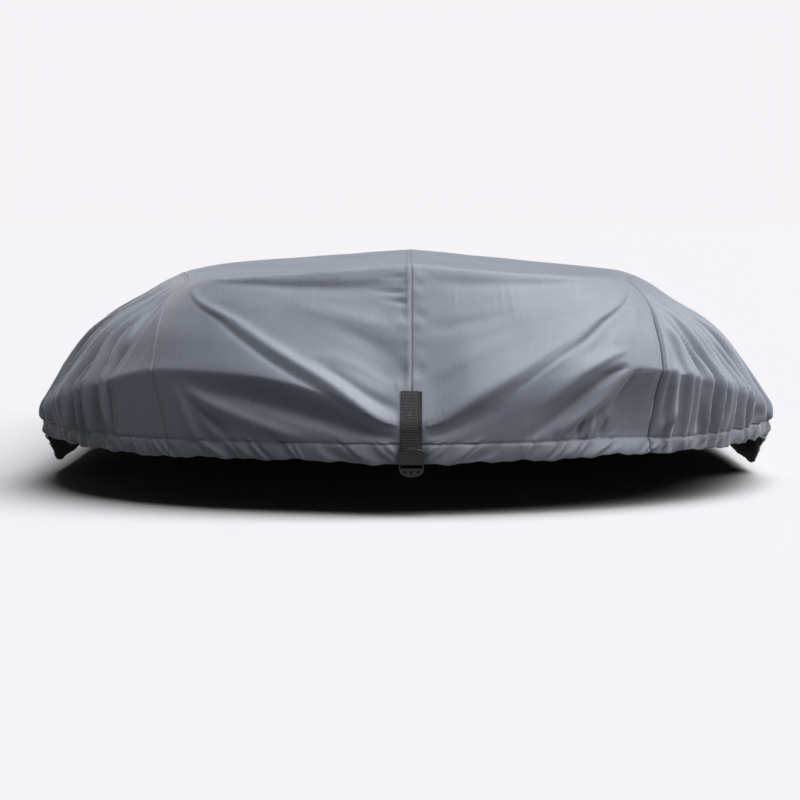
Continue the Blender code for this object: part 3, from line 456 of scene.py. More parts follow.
def casing_height(side, s, w):
    """The casing's two plies swell apart between their stitching and the fold at their foot, with small
    slanting puckers across them and a drawn-in line at the stitches."""
    v = np.abs(w)
    in_casing = np.clip(v / STITCH_V, 0.0, 1.0)
    swell = np.sin(math.pi * in_casing) ** 0.8
    lean = 1.0 + waves(s, (0.35, 19.0, 0.6), (0.25, 47.0, 1.9))
    place = s - lean * (v - STITCH_V) + waves(v, (0.0012, 210.0, 0.3))
    rest = smooth_step(s, QUARTER_END - 0.10, QUARTER_END)
    fewer = soft_ramp(place - QUARTER_END, 0.05) * (1 / SIDE_RUFFLE_PITCH - 1 / RUFFLE_PITCH)
    turn = 2 * math.pi * (place / RUFFLE_PITCH + fewer)
    turn += waves(place, (3.0, 31.0, 0.4), (1.8, 77.0, 1.2)) * (1 - 0.8 * rest)
    uneven = 0.52 + 0.6 * waves(place, (0.6, 59.0, 0.7), (0.6, 101.0, 2.1), (0.5, 23.0, 0.0))
    ruffle = (0.5 + 0.5 * np.cos(turn)) ** 1.3 * np.maximum(uneven, 0.08)
    slow = waves(place, (0.5, 2 * math.pi / 0.046, 0.8), (0.5, 2 * math.pi / 0.071, 2.0))
    free = smooth_step(s, 0.021, 0.036) * (1 - 0.45 * rest)
    near = smooth_step(v, 1.25 * STITCH_V, 0.92 * STITCH_V)
    bottom = np.sqrt(np.clip(1 - (1 - v / CASING_ROUND) ** 2, 0.0, 1.0))
    bottom = np.where(v > CASING_ROUND, 1.0, bottom)
    outer = 0.0012 * swell * free + (0.0054 * ruffle + 0.0020 * slow) * near * free * (0.20 + 0.80 * swell)
    outer += 0.0022 * (ruffle - 0.3) * free * smooth_step(v, 1.7 * STITCH_V, 1.1 * STITCH_V) * (v > STITCH_V)
    outer -= 0.0022 * bell(v - STITCH_V, 0.0026)
    outer -= PLY_GAP / 2 * (1 - bottom)
    inner = -PLY_GAP / 2 * (1 + bottom) - 0.0026 * swell + 0.0014 * ruffle * free * swell
    return np.where(w < 0, inner, outer)


# How far the elastic has rolled the casing's foot up, so that its edge runs unevenly
HEM_ROLL = Table(
    "s     starboard port",
    (0.00, -0.001, -0.001),
    (0.10, 0.001, 0.001),
    (0.25, 0.004, 0.002),
    (0.45, 0.003, 0.008),
    (0.60, 0.004, 0.009),
    (0.90, 0.006, 0.006),
    (4.05, 0.005, 0.005),
)


def hem_roll(side, s, v):
    ripple = waves(s, (0.0016, 61.0, 0.4), (0.0010, 143.0, 1.0), (0.0012, 27.0, 2.4))
    ripple *= smooth_step(s, 0.02, 0.06) * (1 - 0.7 * smooth_step(s, QUARTER_END - 0.2, QUARTER_END))
    return (HEM_ROLL.at(s, side) + ripple) * np.clip(1 - v / STITCH_V, 0.0, 1.0)


def cloth(side, s, w):
    """The cloth's outer face at s and w, where w is v on the outside and -v on the ply turned up inside, with
    its normal and how far folds and pleats stand out."""
    v = np.abs(w)
    way = 1.0 if side == "port" else -1.0
    step = 0.002
    along = base_surface(side, s + step, v)[0] - base_surface(side, np.maximum(s - step, 0.0), v)[0]
    climb = base_surface(side, s, v + step)[0] - base_surface(side, s, v - step)[0]
    normal = unit(np.cross(along, climb) * way)
    stand = fold_height(side, s, v) + pleat_height(side, s, v)
    height = stand + seam_height(side, s, v) + slack(s, v) + casing_height(side, s, w)
    under_webbing = smooth_step(s, 0.030, 0.0235) * smooth_step(v, 0.222, 0.213)
    height = np.where(height > 0, height * (1 - under_webbing), height)
    point = base_surface(side, s, v)[0] + normal * height[..., None]
    point += unit(climb) * hem_roll(side, s, v)[..., None]
    point[..., 0] = way * np.maximum(way * point[..., 0], SEAM_GAP / 2)
    return point, normal, stand


class Shade:
    """A socket of a material's nodes. Arithmetic on it adds the Math nodes that work the result out."""

    def __init__(self, tree, socket=None):
        self.tree = tree
        self.socket = socket

    def node(self, kind, settings, inputs, output=0):
        """Adds a node with its settings, then sets or links each socket that is named or numbered."""
        made = self.tree.nodes.new(kind)
        for name, value in settings.items():
            setattr(made, name, value)
        for name, value in inputs.items():
            if isinstance(value, Shade):
                self.tree.links.new(value.socket, made.inputs[name])
            else:
                made.inputs[name].default_value = value
        return Shade(self.tree, made.outputs[output])

    def other(self, output):
        return Shade(self.tree, self.socket.node.outputs[output])

    def maths(self, operation, first, second=0.0):
        return self.node("ShaderNodeMath", {"operation": operation}, {0: first, 1: second})

    def __add__(self, value):
        return self.maths("ADD", self, value)

    def __mul__(self, value):
        return self.maths("MULTIPLY", self, value)

    def __sub__(self, value):
        return self.maths("SUBTRACT", self, value)

    __radd__ = __add__
    __rmul__ = __mul__

    def sine(self):
        return self.maths("SINE", self)

    def noise(self, where, scale, stretch=(1.0, 1.0, 1.0), detail=2.0):
        """Soft noise about 0, from -0.5 to 0.5, with its pattern drawn out by the stretch."""
        drawn = self.node("ShaderNodeMapping", {}, {"Vector": where, "Scale": stretch})
        found = self.node("ShaderNodeTexNoise", {}, {"Vector": drawn, "Scale": scale, "Detail": detail})
        return found - 0.5

    def mix(self, share, first, second):
        colours = {0: share, 6: first, 7: second}
        return self.node("ShaderNodeMix", {"data_type": "RGBA", "clamp_factor": True}, colours, 2)


def finish(name, **settings):
    """A new material, its shader with the settings that are the same all over, and a start for its nodes."""
    made = bpy.data.materials.new(name)
    made.use_nodes = True
    shader = made.node_tree.nodes["Principled BSDF"]
    for socket, value in settings.items():
        shader.inputs[socket.replace("_", " ")].default_value = value
    return made, Shade(made.node_tree), shader


def feed(shader, **sockets):
    for name, shade in sockets.items():
        shade.tree.links.new(shade.socket, shader.inputs[name.replace("_", " ")])


CLOTH_DARK = (0.052, 0.058, 0.070, 1.0)
CLOTH_LIGHT = (0.128, 0.138, 0.158, 1.0)
THREAD_PITCH = 0.0006


def woven_cloth():
    """Plain weave: two crossing sine waves, one for each set of threads. Uneven threads draw faint streaks
    both ways and the coating dulls in patches. Cloth that stands out in a fold is painted paler and cloth
    in a fold's trough is painted darker: painted highlight on the ridges and painted shade in the hollows."""
    settings = {"Sheen_Weight": 0.16, "Sheen_Roughness": 0.5, "Specular_IOR_Level": 0.38}
    made, nodes, shader = finish("woven_polyester", **settings)
    where = nodes.node("ShaderNodeUVMap", {"uv_map": "metres"}, {})
    weft = nodes.node("ShaderNodeSeparateXYZ", {}, {0: where})
    warp = weft.other(1)
    place = nodes.node("ShaderNodeTexCoord", {}, {}, "Object")
    stand = nodes.node("ShaderNodeAttribute", {"attribute_name": "stand"}, {}, "Fac")
    patches = nodes.noise(place, 5.0, detail=4.0)
    dust = nodes.noise(place, 42.0, detail=6.0)
    streaks = nodes.noise(where, 1.0, (420.0, 7.0, 1.0)) + nodes.noise(where, 1.0, (9.0, 380.0, 1.0))
    # the stand term is painted light: paler on fold and pleat ridges, painted shade in their troughs
    pale = 0.46 + 0.36 * patches + 0.22 * dust + 0.26 * streaks + 9.0 * stand
    rough = 0.60 + 0.14 * patches + 0.10 * dust
    turn = 2 * math.pi / THREAD_PITCH
    weave = (weft * turn).sine() * (warp * turn).sine()
    grain = weave * 0.5 + streaks * 0.7 + dust * 0.8
    bumped = nodes.node("ShaderNodeBump", {}, {"Strength": 0.35, "Distance": 0.0002, "Height": grain})
    feed(shader, Base_Color=nodes.mix(pale, CLOTH_DARK, CLOTH_LIGHT), Roughness=rough, Normal=bumped)
    return made


cover_cloth = woven_cloth()
CLOTH_THICKNESS = 0.0014


def between(start, end, step):
    count = max(2, round(abs(end - start) / step) + 1)
    return np.linspace(start, end, count)


# Rows of the panels' grids, as w: close together at the casing's foot and stitching, the break and the crest
foot_rows = [0.0004, 0.0010, 0.0018, 0.0030, 0.0060]
casing_rows = np.concatenate([foot_rows, between(0.0095, 0.0270, 0.0035), [0.0300, 0.0325, 0.0350]])
height_rows = np.concatenate(
    [
        -casing_rows[::-1],
        [0.0],
        casing_rows,
        [0.0375, 0.0400],
        between(0.0440, BREAK_V - 0.012, 0.0045),
        between(BREAK_V - 0.009, BREAK_V + 0.009, 0.0030),
        between(BREAK_V + 0.013, CREST_V - 0.020, 0.0058),
        between(CREST_V - 0.015, CREST_V, 0.0038),
    ]
)


def patch(left, right, shares, rows):
    """Grid of (s, w) points between two edges: s = left + share x (right - left) on every row."""
    s = left[:, None] + shares[None, :] * (right - left)[:, None]
    return np.stack([s, np.broadcast_to(rows[:, None], s.shape)], axis=-1)


def threads_way(side, s, v, middle):
    """Metres along the weft and the warp. A middle panel's warp runs lengthways and bends over the crest at
    both ends; a side panel's weft runs along its hem."""
    point, from_hem, from_crest = base_surface(side, s, v)
    if not middle:
        return np.stack([s if side == "port" else -s, from_hem], axis=-1)
    at_crest = base_surface(side, s, np.full_like(s, CREST_V))[0][:, 1]
    end = np.where(s < half_girth / 2, 1.0, -1.0)
    over = at_crest + end * np.minimum(from_crest, 0.0)
    return np.stack([point[:, 0], np.where(v < CREST_V, over, point[:, 1])], axis=-1)


def add_piece(name, corners, faces, material):
    """A smooth piece in the scene, of these corners and faces."""
    mesh = bpy.data.meshes.new(name)
    mesh.from_pydata(np.reshape(corners, (-1, 3)).tolist(), [], faces)
    mesh.materials.append(material)
    mesh.shade_smooth()
    made = bpy.data.objects.new(name, mesh)
    bpy.context.scene.collection.objects.link(made)
    return made


def lay_metres(mesh, metres):
    """The UV map "metres": each corner's place along the threads."""
    corner = np.empty(len(mesh.loops), dtype=np.int32)
    mesh.loops.foreach_get("vertex_index", corner)
    mesh.uv_layers.new(name="metres").data.foreach_set("uv", metres[corner].astype(np.float32).ravel())


def panel_mesh(name, side, patches, middle):
    """Puts the patches' corners on the cloth, joins the ones they share, and makes four-cornered faces that
    look outwards. The UV map holds metres along the threads, the attribute how far folds and pleats stand."""
    corners, faces = [], []
    start = 0
    for grid in patches:
        rows, columns = grid.shape[:2]
        index = start + np.arange(rows * columns).reshape(rows, columns)
        quad = np.stack([index[:-1, :-1], index[:-1, 1:], index[1:, 1:], index[1:, :-1]], axis=-1)
        faces.append(quad.reshape(-1, 4))
        corners.append(grid.reshape(-1, 2))
        start += rows * columns
    corners = np.concatenate(corners)
    _, first, merged = np.unique(np.round(corners, 7), axis=0, return_index=True, return_inverse=True)
    corners = corners[first]
    faces = merged.reshape(-1)[np.concatenate(faces)]
    if side == "starboard":
        faces = faces[:, ::-1]
    point, _, stand = cloth(side, corners[:, 0], corners[:, 1])
    made = add_piece(name, point, faces.tolist(), cover_cloth)
    lay_metres(made.data, threads_way(side, corners[:, 0], np.abs(corners[:, 1]), middle))
    # the stand attribute feeds the cloth's painted highlight on ridges and painted shade in troughs
    made.data.attributes.new("stand", "FLOAT", "POINT").data.foreach_set("value", stand.astype(np.float32))
    thick = made.modifiers.new("cloth_thickness", "SOLIDIFY")
    thick.thickness = CLOTH_THICKNESS
    thick.offset = -1.0
    return made


bow_shares = np.concatenate([[0.0, 0.0018, 0.0040], between(0.0070, 0.990, 0.0054), [0.994, 0.9975, 1.0]])
stern_shares = np.concatenate([[0.0, 0.004, 0.010], between(0.022, 0.985, 0.026), [0.993, 1.0]])


def middle_panel(side):
    half = SEAM_GAP / 2
    seam = seam_s(side, np.abs(height_rows)) - half
    apron = patch(0.0 * seam, seam, bow_shares, height_rows)
    stern_start = half_girth - STERN_SEAM_FROM_END + half
    stern = patch(0.0 * seam + stern_start, 0.0 * seam + half_girth, stern_shares, height_rows)
    top_rows = np.concatenate([CREST_V + np.array([0.0, 0.005, 0.011]), between(0.520, 0.990, 0.016), [1.0]])
    along = np.concatenate(
        [
            bow_shares * (seam_s(side, CREST_V) - half),
            between(seam_s(side, CREST_V) + 0.012, stern_start - 0.015, 0.020),
            stern_start + stern_shares * STERN_SEAM_FROM_END - stern_shares * half,
        ]
    )
    top = np.stack(np.meshgrid(along, top_rows), axis=-1)
    return panel_mesh(side + "_middle_cloth", side, [apron, stern, top], True)


for side in ("starboard", "port"):
    middle = middle_panel(side)
    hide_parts("middle_panel_" + side)
    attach(middle, "root")

# ---- Side panels ----
# Each runs from its seam at the bow round the quarter and along the side to the stern. They are cut fuller
# than their span, and the elastic in their hem takes the fullness up in pleats.


def side_panel(side):
    half = SEAM_GAP / 2
    seam = seam_s(side, np.abs(height_rows)) + half
    quarter_shares = np.concatenate([[0.0, 0.0022, 0.0050, 0.0085], between(0.0130, 1.0, 0.0052)])
    quarter = patch(seam, 0.0 * seam + QUARTER_END, quarter_shares, height_rows)
    stern = half_girth - STERN_SEAM_FROM_END - half
    rest_shares = np.concatenate([between(0.0, 0.994, 0.0066), [0.998, 1.0]])
    rest = patch(0.0 * seam + QUARTER_END, 0.0 * seam + stern, rest_shares, height_rows)
    return panel_mesh(side + "_side_cloth", side, [quarter, rest], False)


for side in ("starboard", "port"):
    panel = side_panel(side)
    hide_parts("side_panel_" + side)
    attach(panel, "root")

# ---- Sewing ----
# Dark polyester thread. One row holds the hem's casing, one runs beside every seam, and two hold down the
# centre seam's fell. Each stitch is a short bead of thread that dips into the cloth at its ends.

STITCH_PITCH, STITCH_LENGTH = 0.0042, 0.0031
THREAD_HALF_WIDTH, THREAD_HEIGHT = 0.00045, 0.00055


def along_line(line, at):
    """Places at these distances along a line of points."""
    return np.stack([np.interp(at, run_along(line[:, :3]), column) for column in line.T], axis=-1)


def stitch_row(points, normals):
    """Middle, direction and normal of each stitch along a line of points."""
    at = np.arange(STITCH_PITCH / 2, run_along(points)[-1], STITCH_PITCH)
    here = along_line(np.concatenate([points, normals], axis=1), at)
    way = along_line(points, at + STITCH_LENGTH / 4) - along_line(points, at - STITCH_LENGTH / 4)
    return here[:, :3], unit(way), here[:, 3:]


def sewn(name, rows, thread):
    """All stitches of these rows as one mesh: each has two ends and four corners round its middle."""
    middle, way, up = [np.concatenate(part) for part in zip(*rows)]
    across = np.cross(way, up)
    sunk = middle - up * THREAD_HEIGHT * 0.4
    ends = [sunk - way * STITCH_LENGTH / 2, sunk + way * STITCH_LENGTH / 2]
    waist = [middle - across * THREAD_HALF_WIDTH, middle + up * THREAD_HEIGHT]
    waist += [middle + across * THREAD_HALF_WIDTH, middle - up * THREAD_HEIGHT]
    around = [(2, 3), (3, 4), (4, 5), (5, 2)]
    pattern = np.array([(0, b, a) for a, b in around] + [(1, a, b) for a, b in around])
    faces = (np.arange(len(middle))[:, None, None] * 6 + pattern).reshape(-1, 3)
    return add_piece(name, np.stack(ends + waist, axis=1), faces.tolist(), thread)


def spun_thread(name, dark, light):
    """Twisted thread: slightly uneven in shade, with a soft gloss."""
    made, nodes, shader = finish(name, Sheen_Weight=0.1)
    place = nodes.node("ShaderNodeTexCoord", {}, {}, "Object")
    uneven = nodes.noise(place, 900.0)
    feed(shader, Base_Color=nodes.mix(0.5 + uneven, dark, light))
    feed(shader, Roughness=0.55 + 0.2 * uneven)
    return made


cover_thread = spun_thread("spun_thread", (0.026, 0.030, 0.038, 1), (0.070, 0.078, 0.094, 1))
SEAM_ROW, FELL_ROWS = 0.0048, (0.0022, 0.0096)


def row_on_cloth(side, s, v):
    points, normals, _ = cloth(side, s, v)
    return stitch_row(points, normals)


def seam_rows(side):
    """The hem's row, and a row on the side panel's edge along each of its seams."""
    up = np.linspace(STITCH_V + 0.004, CREST_V - 0.006, 160)
    hem = np.linspace(0.024, half_girth - 0.002, 2400)
    stern_seam = half_girth - STERN_SEAM_FROM_END
    crest = np.linspace(seam_s(side, CREST_V) + 0.006, stern_seam - 0.006, 900)
    return [
        row_on_cloth(side, hem, 0 * hem + STITCH_V),
        row_on_cloth(side, seam_s(side, up) + SEAM_ROW, up),
        row_on_cloth(side, 0 * up + stern_seam - SEAM_ROW, up),
        row_on_cloth(side, crest, 0 * crest + CREST_V - SEAM_ROW / METRES_AT_CREST),
    ]


def fell_row(side, off):
    """A row at this distance from the centre seam: up the bow, along the top, where a section's v follows
    from its width at the crest, and down the stern."""
    up = np.linspace(WEBBING_TOP_V + 0.004, CREST_V, 200)
    over = off + (half_girth - 2 * off) * np.linspace(0.0, 1.0, 1500) ** 2
    over = np.concatenate([over[over < half_girth / 2], half_girth - over[over < half_girth / 2][::-1]])
    at_crest = np.abs(base_surface(side, over, np.full_like(over, CREST_V))[0][:, 0])
    top_v = RIDGE_V - (RIDGE_V - CREST_V) * off / np.maximum(at_crest, off)
    down = np.linspace(CREST_V, STITCH_V + 0.006, 200)
    s = np.concatenate([0 * up + off, over, 0 * down + half_girth - off])
    return row_on_cloth(side, s, np.concatenate([up, top_v, down]))


for side in ("starboard", "port"):
    rows = seam_rows(side)
    if side == "starboard":
        rows += [fell_row(side, off) for off in FELL_ROWS]
    sewing = sewn(side + "_sewing", rows, cover_thread)
    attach(sewing, "root")

# ---- Webbing ----
# One length of black ribbed polypropylene, folded in two round the buckle's bar. Both layers are sewn to the
# bow with a boxed cross, and as far down as that the upper one is narrower.

WEBBING_END_WIDTH, WEBBING_THICKNESS, WEBBING_LOW_V = 0.032, 0.0015, 0.100
SEWN_TO_DROP, BAR_DROP, BAR_RADIUS = 0.322, 0.366, 0.0020
LAYER_POINTS = 34
RIB_PITCH, YARN_PITCH = 0.0030, 0.0012


def centre_line(v):
    """The cloth on the centre line, as y and z."""
    return base_surface("port", np.zeros_like(v), v)[0][:, 1:]


def bar_centre():
    """The bar's y and z: in front of the cloth by its radius, the webbing's back layer and their gaps."""
    line = centre_line(np.linspace(0.0, CREST_V, 400))
    z = RIDGE_TOP - BAR_DROP
    return float(np.interp(z, line[:, 1], line[:, 0])) - (BAR_RADIUS + WEBBING_THICKNESS + 3 * SEAM_GAP), z


bar_y, bar_z = bar_centre()


def square_to(path):
    """Unit directions square to a path in y and z, a quarter turn ahead of its own."""
    way = unit(np.gradient(path, axis=0))
    return np.stack([-way[:, 1], way[:, 0]], axis=1)


def out_of(path):
    """Unit directions square to a path in y and z, turned to point forward from the cloth."""
    out = square_to(path)
    return out * -np.sign(out[:, :1])


def webbing_path():
    """Middle of the webbing: down the cloth, half round the bar and up again on its own back layer."""
    lift = WEBBING_THICKNESS / 2
    down = centre_line(np.linspace(WEBBING_TOP_V, WEBBING_LOW_V, LAYER_POINTS))
    out = out_of(down)
    radius = BAR_RADIUS + SEAM_GAP + lift
    angle = np.radians(np.linspace(0, -180, 15))
    turn = np.stack([bar_y + radius * np.cos(angle), bar_z + radius * np.sin(angle)], axis=1)
    back = down + out * (2 * SEAM_GAP + lift)
    front = (down + out * (3 * SEAM_GAP + 3 * lift))[::-1]
    share = np.linspace(0.0, 1.0, 12)[1:-1, None]
    to_bar = back[-1] + (turn[0] - back[-1]) * share
    from_bar = turn[-1] + (front[0] - turn[-1]) * share
    return np.concatenate([back, to_bar, turn, from_bar, front])


def webbing_band():
    """A flat section with round edges carried along the path: corners, and metres along it at each. Where the
    upper layer's sewn end starts, the port edge steps in."""
    path = webbing_path()
    square = square_to(path)
    run = run_along(path)
    upper_layer = smooth_step(run, run[-1] / 2, run[-1] / 2 + 0.001)
    sewn_end = upper_layer * (path[:, 1] > RIDGE_TOP - SEWN_TO_DROP)
    half = WEBBING_THICKNESS / 2
    starboard = -WEBBING_WIDTH / 2 + half
    port = WEBBING_WIDTH / 2 - (WEBBING_WIDTH - WEBBING_END_WIDTH) * sewn_end - half
    face = np.linspace(0.0, 1.0, 15)
    bend = np.radians(np.linspace(-90, 90, 7))[1:-1]
    share = np.concatenate([face, 0 * bend + 1, face[::-1], 0 * bend])
    bulge = np.concatenate([0 * face, np.cos(bend), 0 * face, -np.cos(bend)]) * half
    lift = np.concatenate([0 * face - 1, np.sin(bend), 0 * face + 1, -np.sin(bend)]) * half
    x = starboard + (port - starboard)[:, None] * share + bulge
    yz = path[:, None, :] + square[:, None, :] * lift[:, None]
    return np.concatenate([x[..., None], yz], axis=-1), run


def webbing_finish():
    """Ribs across the band, each made of short slanting threads. The crests of ribs and threads are painted
    paler, a painted highlight, and the band is also paler in random worn patches.
    """
    made, nodes, shader = finish("ribbed_webbing", Sheen_Weight=0.04, Sheen_Roughness=0.5)
    where = nodes.node("ShaderNodeUVMap", {"uv_map": "metres"}, {})
    across = nodes.node("ShaderNodeSeparateXYZ", {}, {0: where})
    along = across.other(1)
    ribs = (along * (2 * math.pi / RIB_PITCH)).sine()
    yarns = ((across + 0.5 * along) * (2 * math.pi / YARN_PITCH)).sine()
    wear = nodes.noise(where, 160.0, detail=4.0)
    relief = ribs * 0.6 + yarns * 0.4
    bumped = nodes.node("ShaderNodeBump", {}, {"Strength": 0.9, "Distance": 0.0006, "Height": relief})
    # the relief term paints rib and thread crests paler: painted highlight; the wear term is random worn
    # patches
    pale = 0.40 + 0.45 * relief + 0.6 * wear
    feed(shader, Base_Color=nodes.mix(pale, (0.002, 0.002, 0.003, 1), (0.014, 0.014, 0.017, 1)))
    feed(shader, Roughness=0.68 + 0.2 * wear, Normal=bumped)
    return made


def tube(name, rings, material, sharp):
    """A closed tube of rings of corners, with flat ends and edges crisp where they turn past an angle."""
    index = np.arange(rings[..., 0].size).reshape(rings.shape[:2])
    ahead = np.roll(index, -1, axis=1)
    faces = np.stack([index[:-1], index[1:], ahead[1:], ahead[:-1]], axis=-1).reshape(-1, 4).tolist()
    made = add_piece(name, rings, faces + [index[0].tolist(), index[-1][::-1].tolist()], material)
    made.data.set_sharp_from_angle(angle=math.radians(sharp))
    return made


def webbing():
    rings, run = webbing_band()
    made = tube("sewn_webbing", rings, webbing_finish(), 60)
    lay_metres(made.data, np.stack([rings[..., 0], 0 * rings[..., 0] + run[:, None]], axis=-1).reshape(-1, 2))
    return made


def row_on_webbing(*corners):
    """Stitches on the upper layer's face along straight lines between places given as x and a share of the
    way from the layer's foot to its top."""
    path = webbing_path()[-LAYER_POINTS:]
    front = path[path[:, 1] > RIDGE_TOP - SEWN_TO_DROP]
    out = out_of(front)
    face = front + out * WEBBING_THICKNESS / 2
    rise = np.linspace(0.0, 1.0, len(face))
    x, share = [np.interp(np.linspace(0, 1, 200), np.linspace(0, 1, len(corners)), c) for c in zip(*corners)]
    points, normals = [
        np.stack([start, np.interp(share, rise, line[:, 0]), np.interp(share, rise, line[:, 1])], axis=1)
        for start, line in ((x, face), (0 * x, out))
    ]
    return stitch_row(points, normals)


band = webbing()
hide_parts("bow_webbing")
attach(band, "root")

# The boxed cross: its margin at both edges, and its foot and top as shares of the upper layer's sewn end
MARGIN, LOW, HIGH = 0.003, 0.06, 0.95
left, right = MARGIN - WEBBING_WIDTH / 2, WEBBING_END_WIDTH - WEBBING_WIDTH / 2 - MARGIN
boxed_cross = [row_on_webbing((left, LOW), (right, LOW), (right, HIGH), (left, HIGH), (left, LOW))]
boxed_cross += [row_on_webbing((left, HIGH), (right, LOW)), row_on_webbing((left, LOW), (right, HIGH))]
webbing_thread = spun_thread("webbing_thread", (0.050, 0.050, 0.056, 1), (0.110, 0.110, 0.120, 1))
box_sewing = sewn("webbing_sewing", boxed_cross, webbing_thread)
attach(box_sewing, "root")

# ---- Buckle ----
# A ladder lock moulded in black acetal. An arched plate covers the bar that the webbing turns round. Below it
# are the slot for a loose strap and a rounded tab, pierced by three holes for the grip.

BUCKLE_WIDTH, BUCKLE_ARCH, BUCKLE_PLATE = 0.048, 0.0075, 0.0022
SIDE_PLAY = 0.0008
TOP_DROP, BODY_DROP, BOTTOM_DROP = 0.3545, 0.3950, 0.4085
RUNG, SLOT, TAB_HALF_WIDTH = 0.0030, 0.0065, 0.0230
GRIP_HOLES = Table("x drop", (-0.0125, 0.0042), (0.0, 0.0062), (0.0125, 0.0042))
HOLE_HALF, HOLE_MARGIN = 0.0042, 0.0022
RIM_RADIUS = 0.0012
plate_back = bar_y - (BAR_RADIUS + WEBBING_THICKNESS + 2 * SEAM_GAP)
inner_half = WEBBING_WIDTH / 2 + SIDE_PLAY


def arc(centre_z, half_width, height, start, end):
    angle = np.radians(np.linspace(start, end, 37))
    return np.stack([half_width * np.cos(angle), centre_z + height * np.sin(angle)], axis=1)


def rectangle(half_width, low, high):
    return np.array([(-half_width, low), (half_width, low), (half_width, high), (-half_width, high)])


def ladder_lock(material):
    """The outline with its slot, its holes and the webbing's pocket is cut into triangles. Each is carried
    from the front to the back of the moulding, or in front of the pocket only through the plate."""
    top, low = RIDGE_TOP - TOP_DROP, RIDGE_TOP - BODY_DROP
    depths = (plate_back - BUCKLE_PLATE, plate_back, bar_y + BAR_RADIUS)
    rim = arc(top - BUCKLE_ARCH, BUCKLE_WIDTH / 2, BUCKLE_ARCH, 0, 180)
    tab = arc(low, TAB_HALF_WIDTH, BOTTOM_DROP - BODY_DROP, 180, 360)
    pocket_top = top - BUCKLE_ARCH + BUCKLE_ARCH * math.sqrt(1 - (2 * inner_half / BUCKLE_WIDTH) ** 2)
    pocket_low = bar_z - (BAR_RADIUS + WEBBING_THICKNESS + 4 * SEAM_GAP)
    slot = rectangle(inner_half, low + RUNG, low + RUNG + SLOT)
    corner = np.array([(-HOLE_HALF, 0.0), (0.0, -1.0), (HOLE_HALF, 0.0)])
    holes = [(x, low - HOLE_MARGIN) + corner * (1.0, drop) for x, drop in GRIP_HOLES.rows]
    walls = np.array([(-inner_half, pocket_top), (-inner_half, pocket_low)])
    walls = np.concatenate([walls, walls[::-1] * (-1, 1)])
    loops = [np.concatenate([rim, tab]), slot, *holes]
    points, edges = [], []
    for loop in loops:
        start = len(points)
        points += loop.tolist()
        edges += [(start + k, start + (k + 1) % len(loop)) for k in range(len(loop))]
    start = len(points)
    points += walls.tolist()
    edges += [(start + k, start + k + 1) for k in range(3)]
    flat, _, faces, _, _, _ = delaunay_2d_cdt([tuple(p) for p in points], edges, [], 0, 1e-7)
    flat = np.array([tuple(p) for p in flat])
    faces = np.array([tuple(f) for f in faces])
    middle = flat[faces].mean(axis=1)

    def inside(loop):
        after = np.roll(loop, -1, axis=0)
        level = (loop[:, 1] > middle[:, 1:]) != (after[:, 1] > middle[:, 1:])
        rise = after[:, 1] - loop[:, 1] + (after[:, 1] == loop[:, 1])
        reach = loop[:, 0] + (middle[:, 1:] - loop[:, 1]) * (after[:, 0] - loop[:, 0]) / rise
        return (level & (middle[:, :1] < reach)).sum(axis=1) % 2 == 1

    solid = inside(loops[0]) & ~np.any([inside(loop) for loop in loops[1:]], axis=0)
    pocket = (np.abs(middle[:, 0]) < inner_half) & (middle[:, 1] > pocket_low)
    count = len(flat)
    corners = np.concatenate([np.stack([flat[:, 0], 0 * flat[:, 0] + y, flat[:, 1]], axis=1) for y in depths])
    made = [tuple(face) for face in faces[solid]]
    made += [tuple(face[::-1] + count) for face in faces[solid & pocket]]
    made += [tuple(face[::-1] + 2 * count) for face in faces[solid & ~pocket]]
    for layer, filled in ((0, solid), (1, solid & ~pocket)):
        around = {(a, b) for face in faces[filled].tolist() for a, b in zip(face, face[1:] + face[:1])}
        rim_edges = [(a + layer * count, b + layer * count) for a, b in around if (b, a) not in around]
        made += [(b, a, a + count, b + count) for a, b in rim_edges]
    moulding = add_piece("ladder_lock", corners, [[int(c) for c in face] for face in made], material)
    moulding.data.set_sharp_from_angle(angle=math.radians(40))
    rounding = moulding.modifiers.new("rounding", "BEVEL")
    rounding.width = 0.0005
    rounding.segments = 3
    rounding.limit_method = "ANGLE"
    rounding.angle_limit = math.radians(35)
    return moulding


def black_acetal():
    """Moulded plastic: a fine spark-eroded grain, duller patches and pale scuffs."""
    made, nodes, shader = finish("black_acetal", Specular_IOR_Level=0.5)
    place = nodes.node("ShaderNodeTexCoord", {}, {}, "Object")
    grain = nodes.noise(place, 2600.0, detail=3.0)
    patches = nodes.noise(place, 90.0, detail=4.0)
    scuffs = nodes.noise(place, 60.0, (1.0, 1.0, 14.0), 6.0)
    pale = 0.25 + 0.5 * patches + 0.6 * scuffs
    bumped = nodes.node("ShaderNodeBump", {}, {"Strength": 0.25, "Distance": 0.0001, "Height": grain})
    feed(shader, Base_Color=nodes.mix(pale, (0.008, 0.008, 0.009, 1), (0.030, 0.030, 0.033, 1)))
    feed(shader, Roughness=0.28 + 0.22 * patches + 0.10 * grain, Normal=bumped)
    return made


def webbing_bar(material):
    """A round bar along X: circles at its two ends, joined."""
    angle = np.linspace(2 * math.pi, 0.0, 24, endpoint=False)
    across, up = BAR_RADIUS * np.cos(angle), BAR_RADIUS * np.sin(angle)
    ring = np.stack([0 * angle, bar_y + across, bar_z + up], axis=1)
    return tube("webbing_bar", np.stack([ring - (inner_half, 0, 0), ring + (inner_half, 0, 0)]), material, 40)


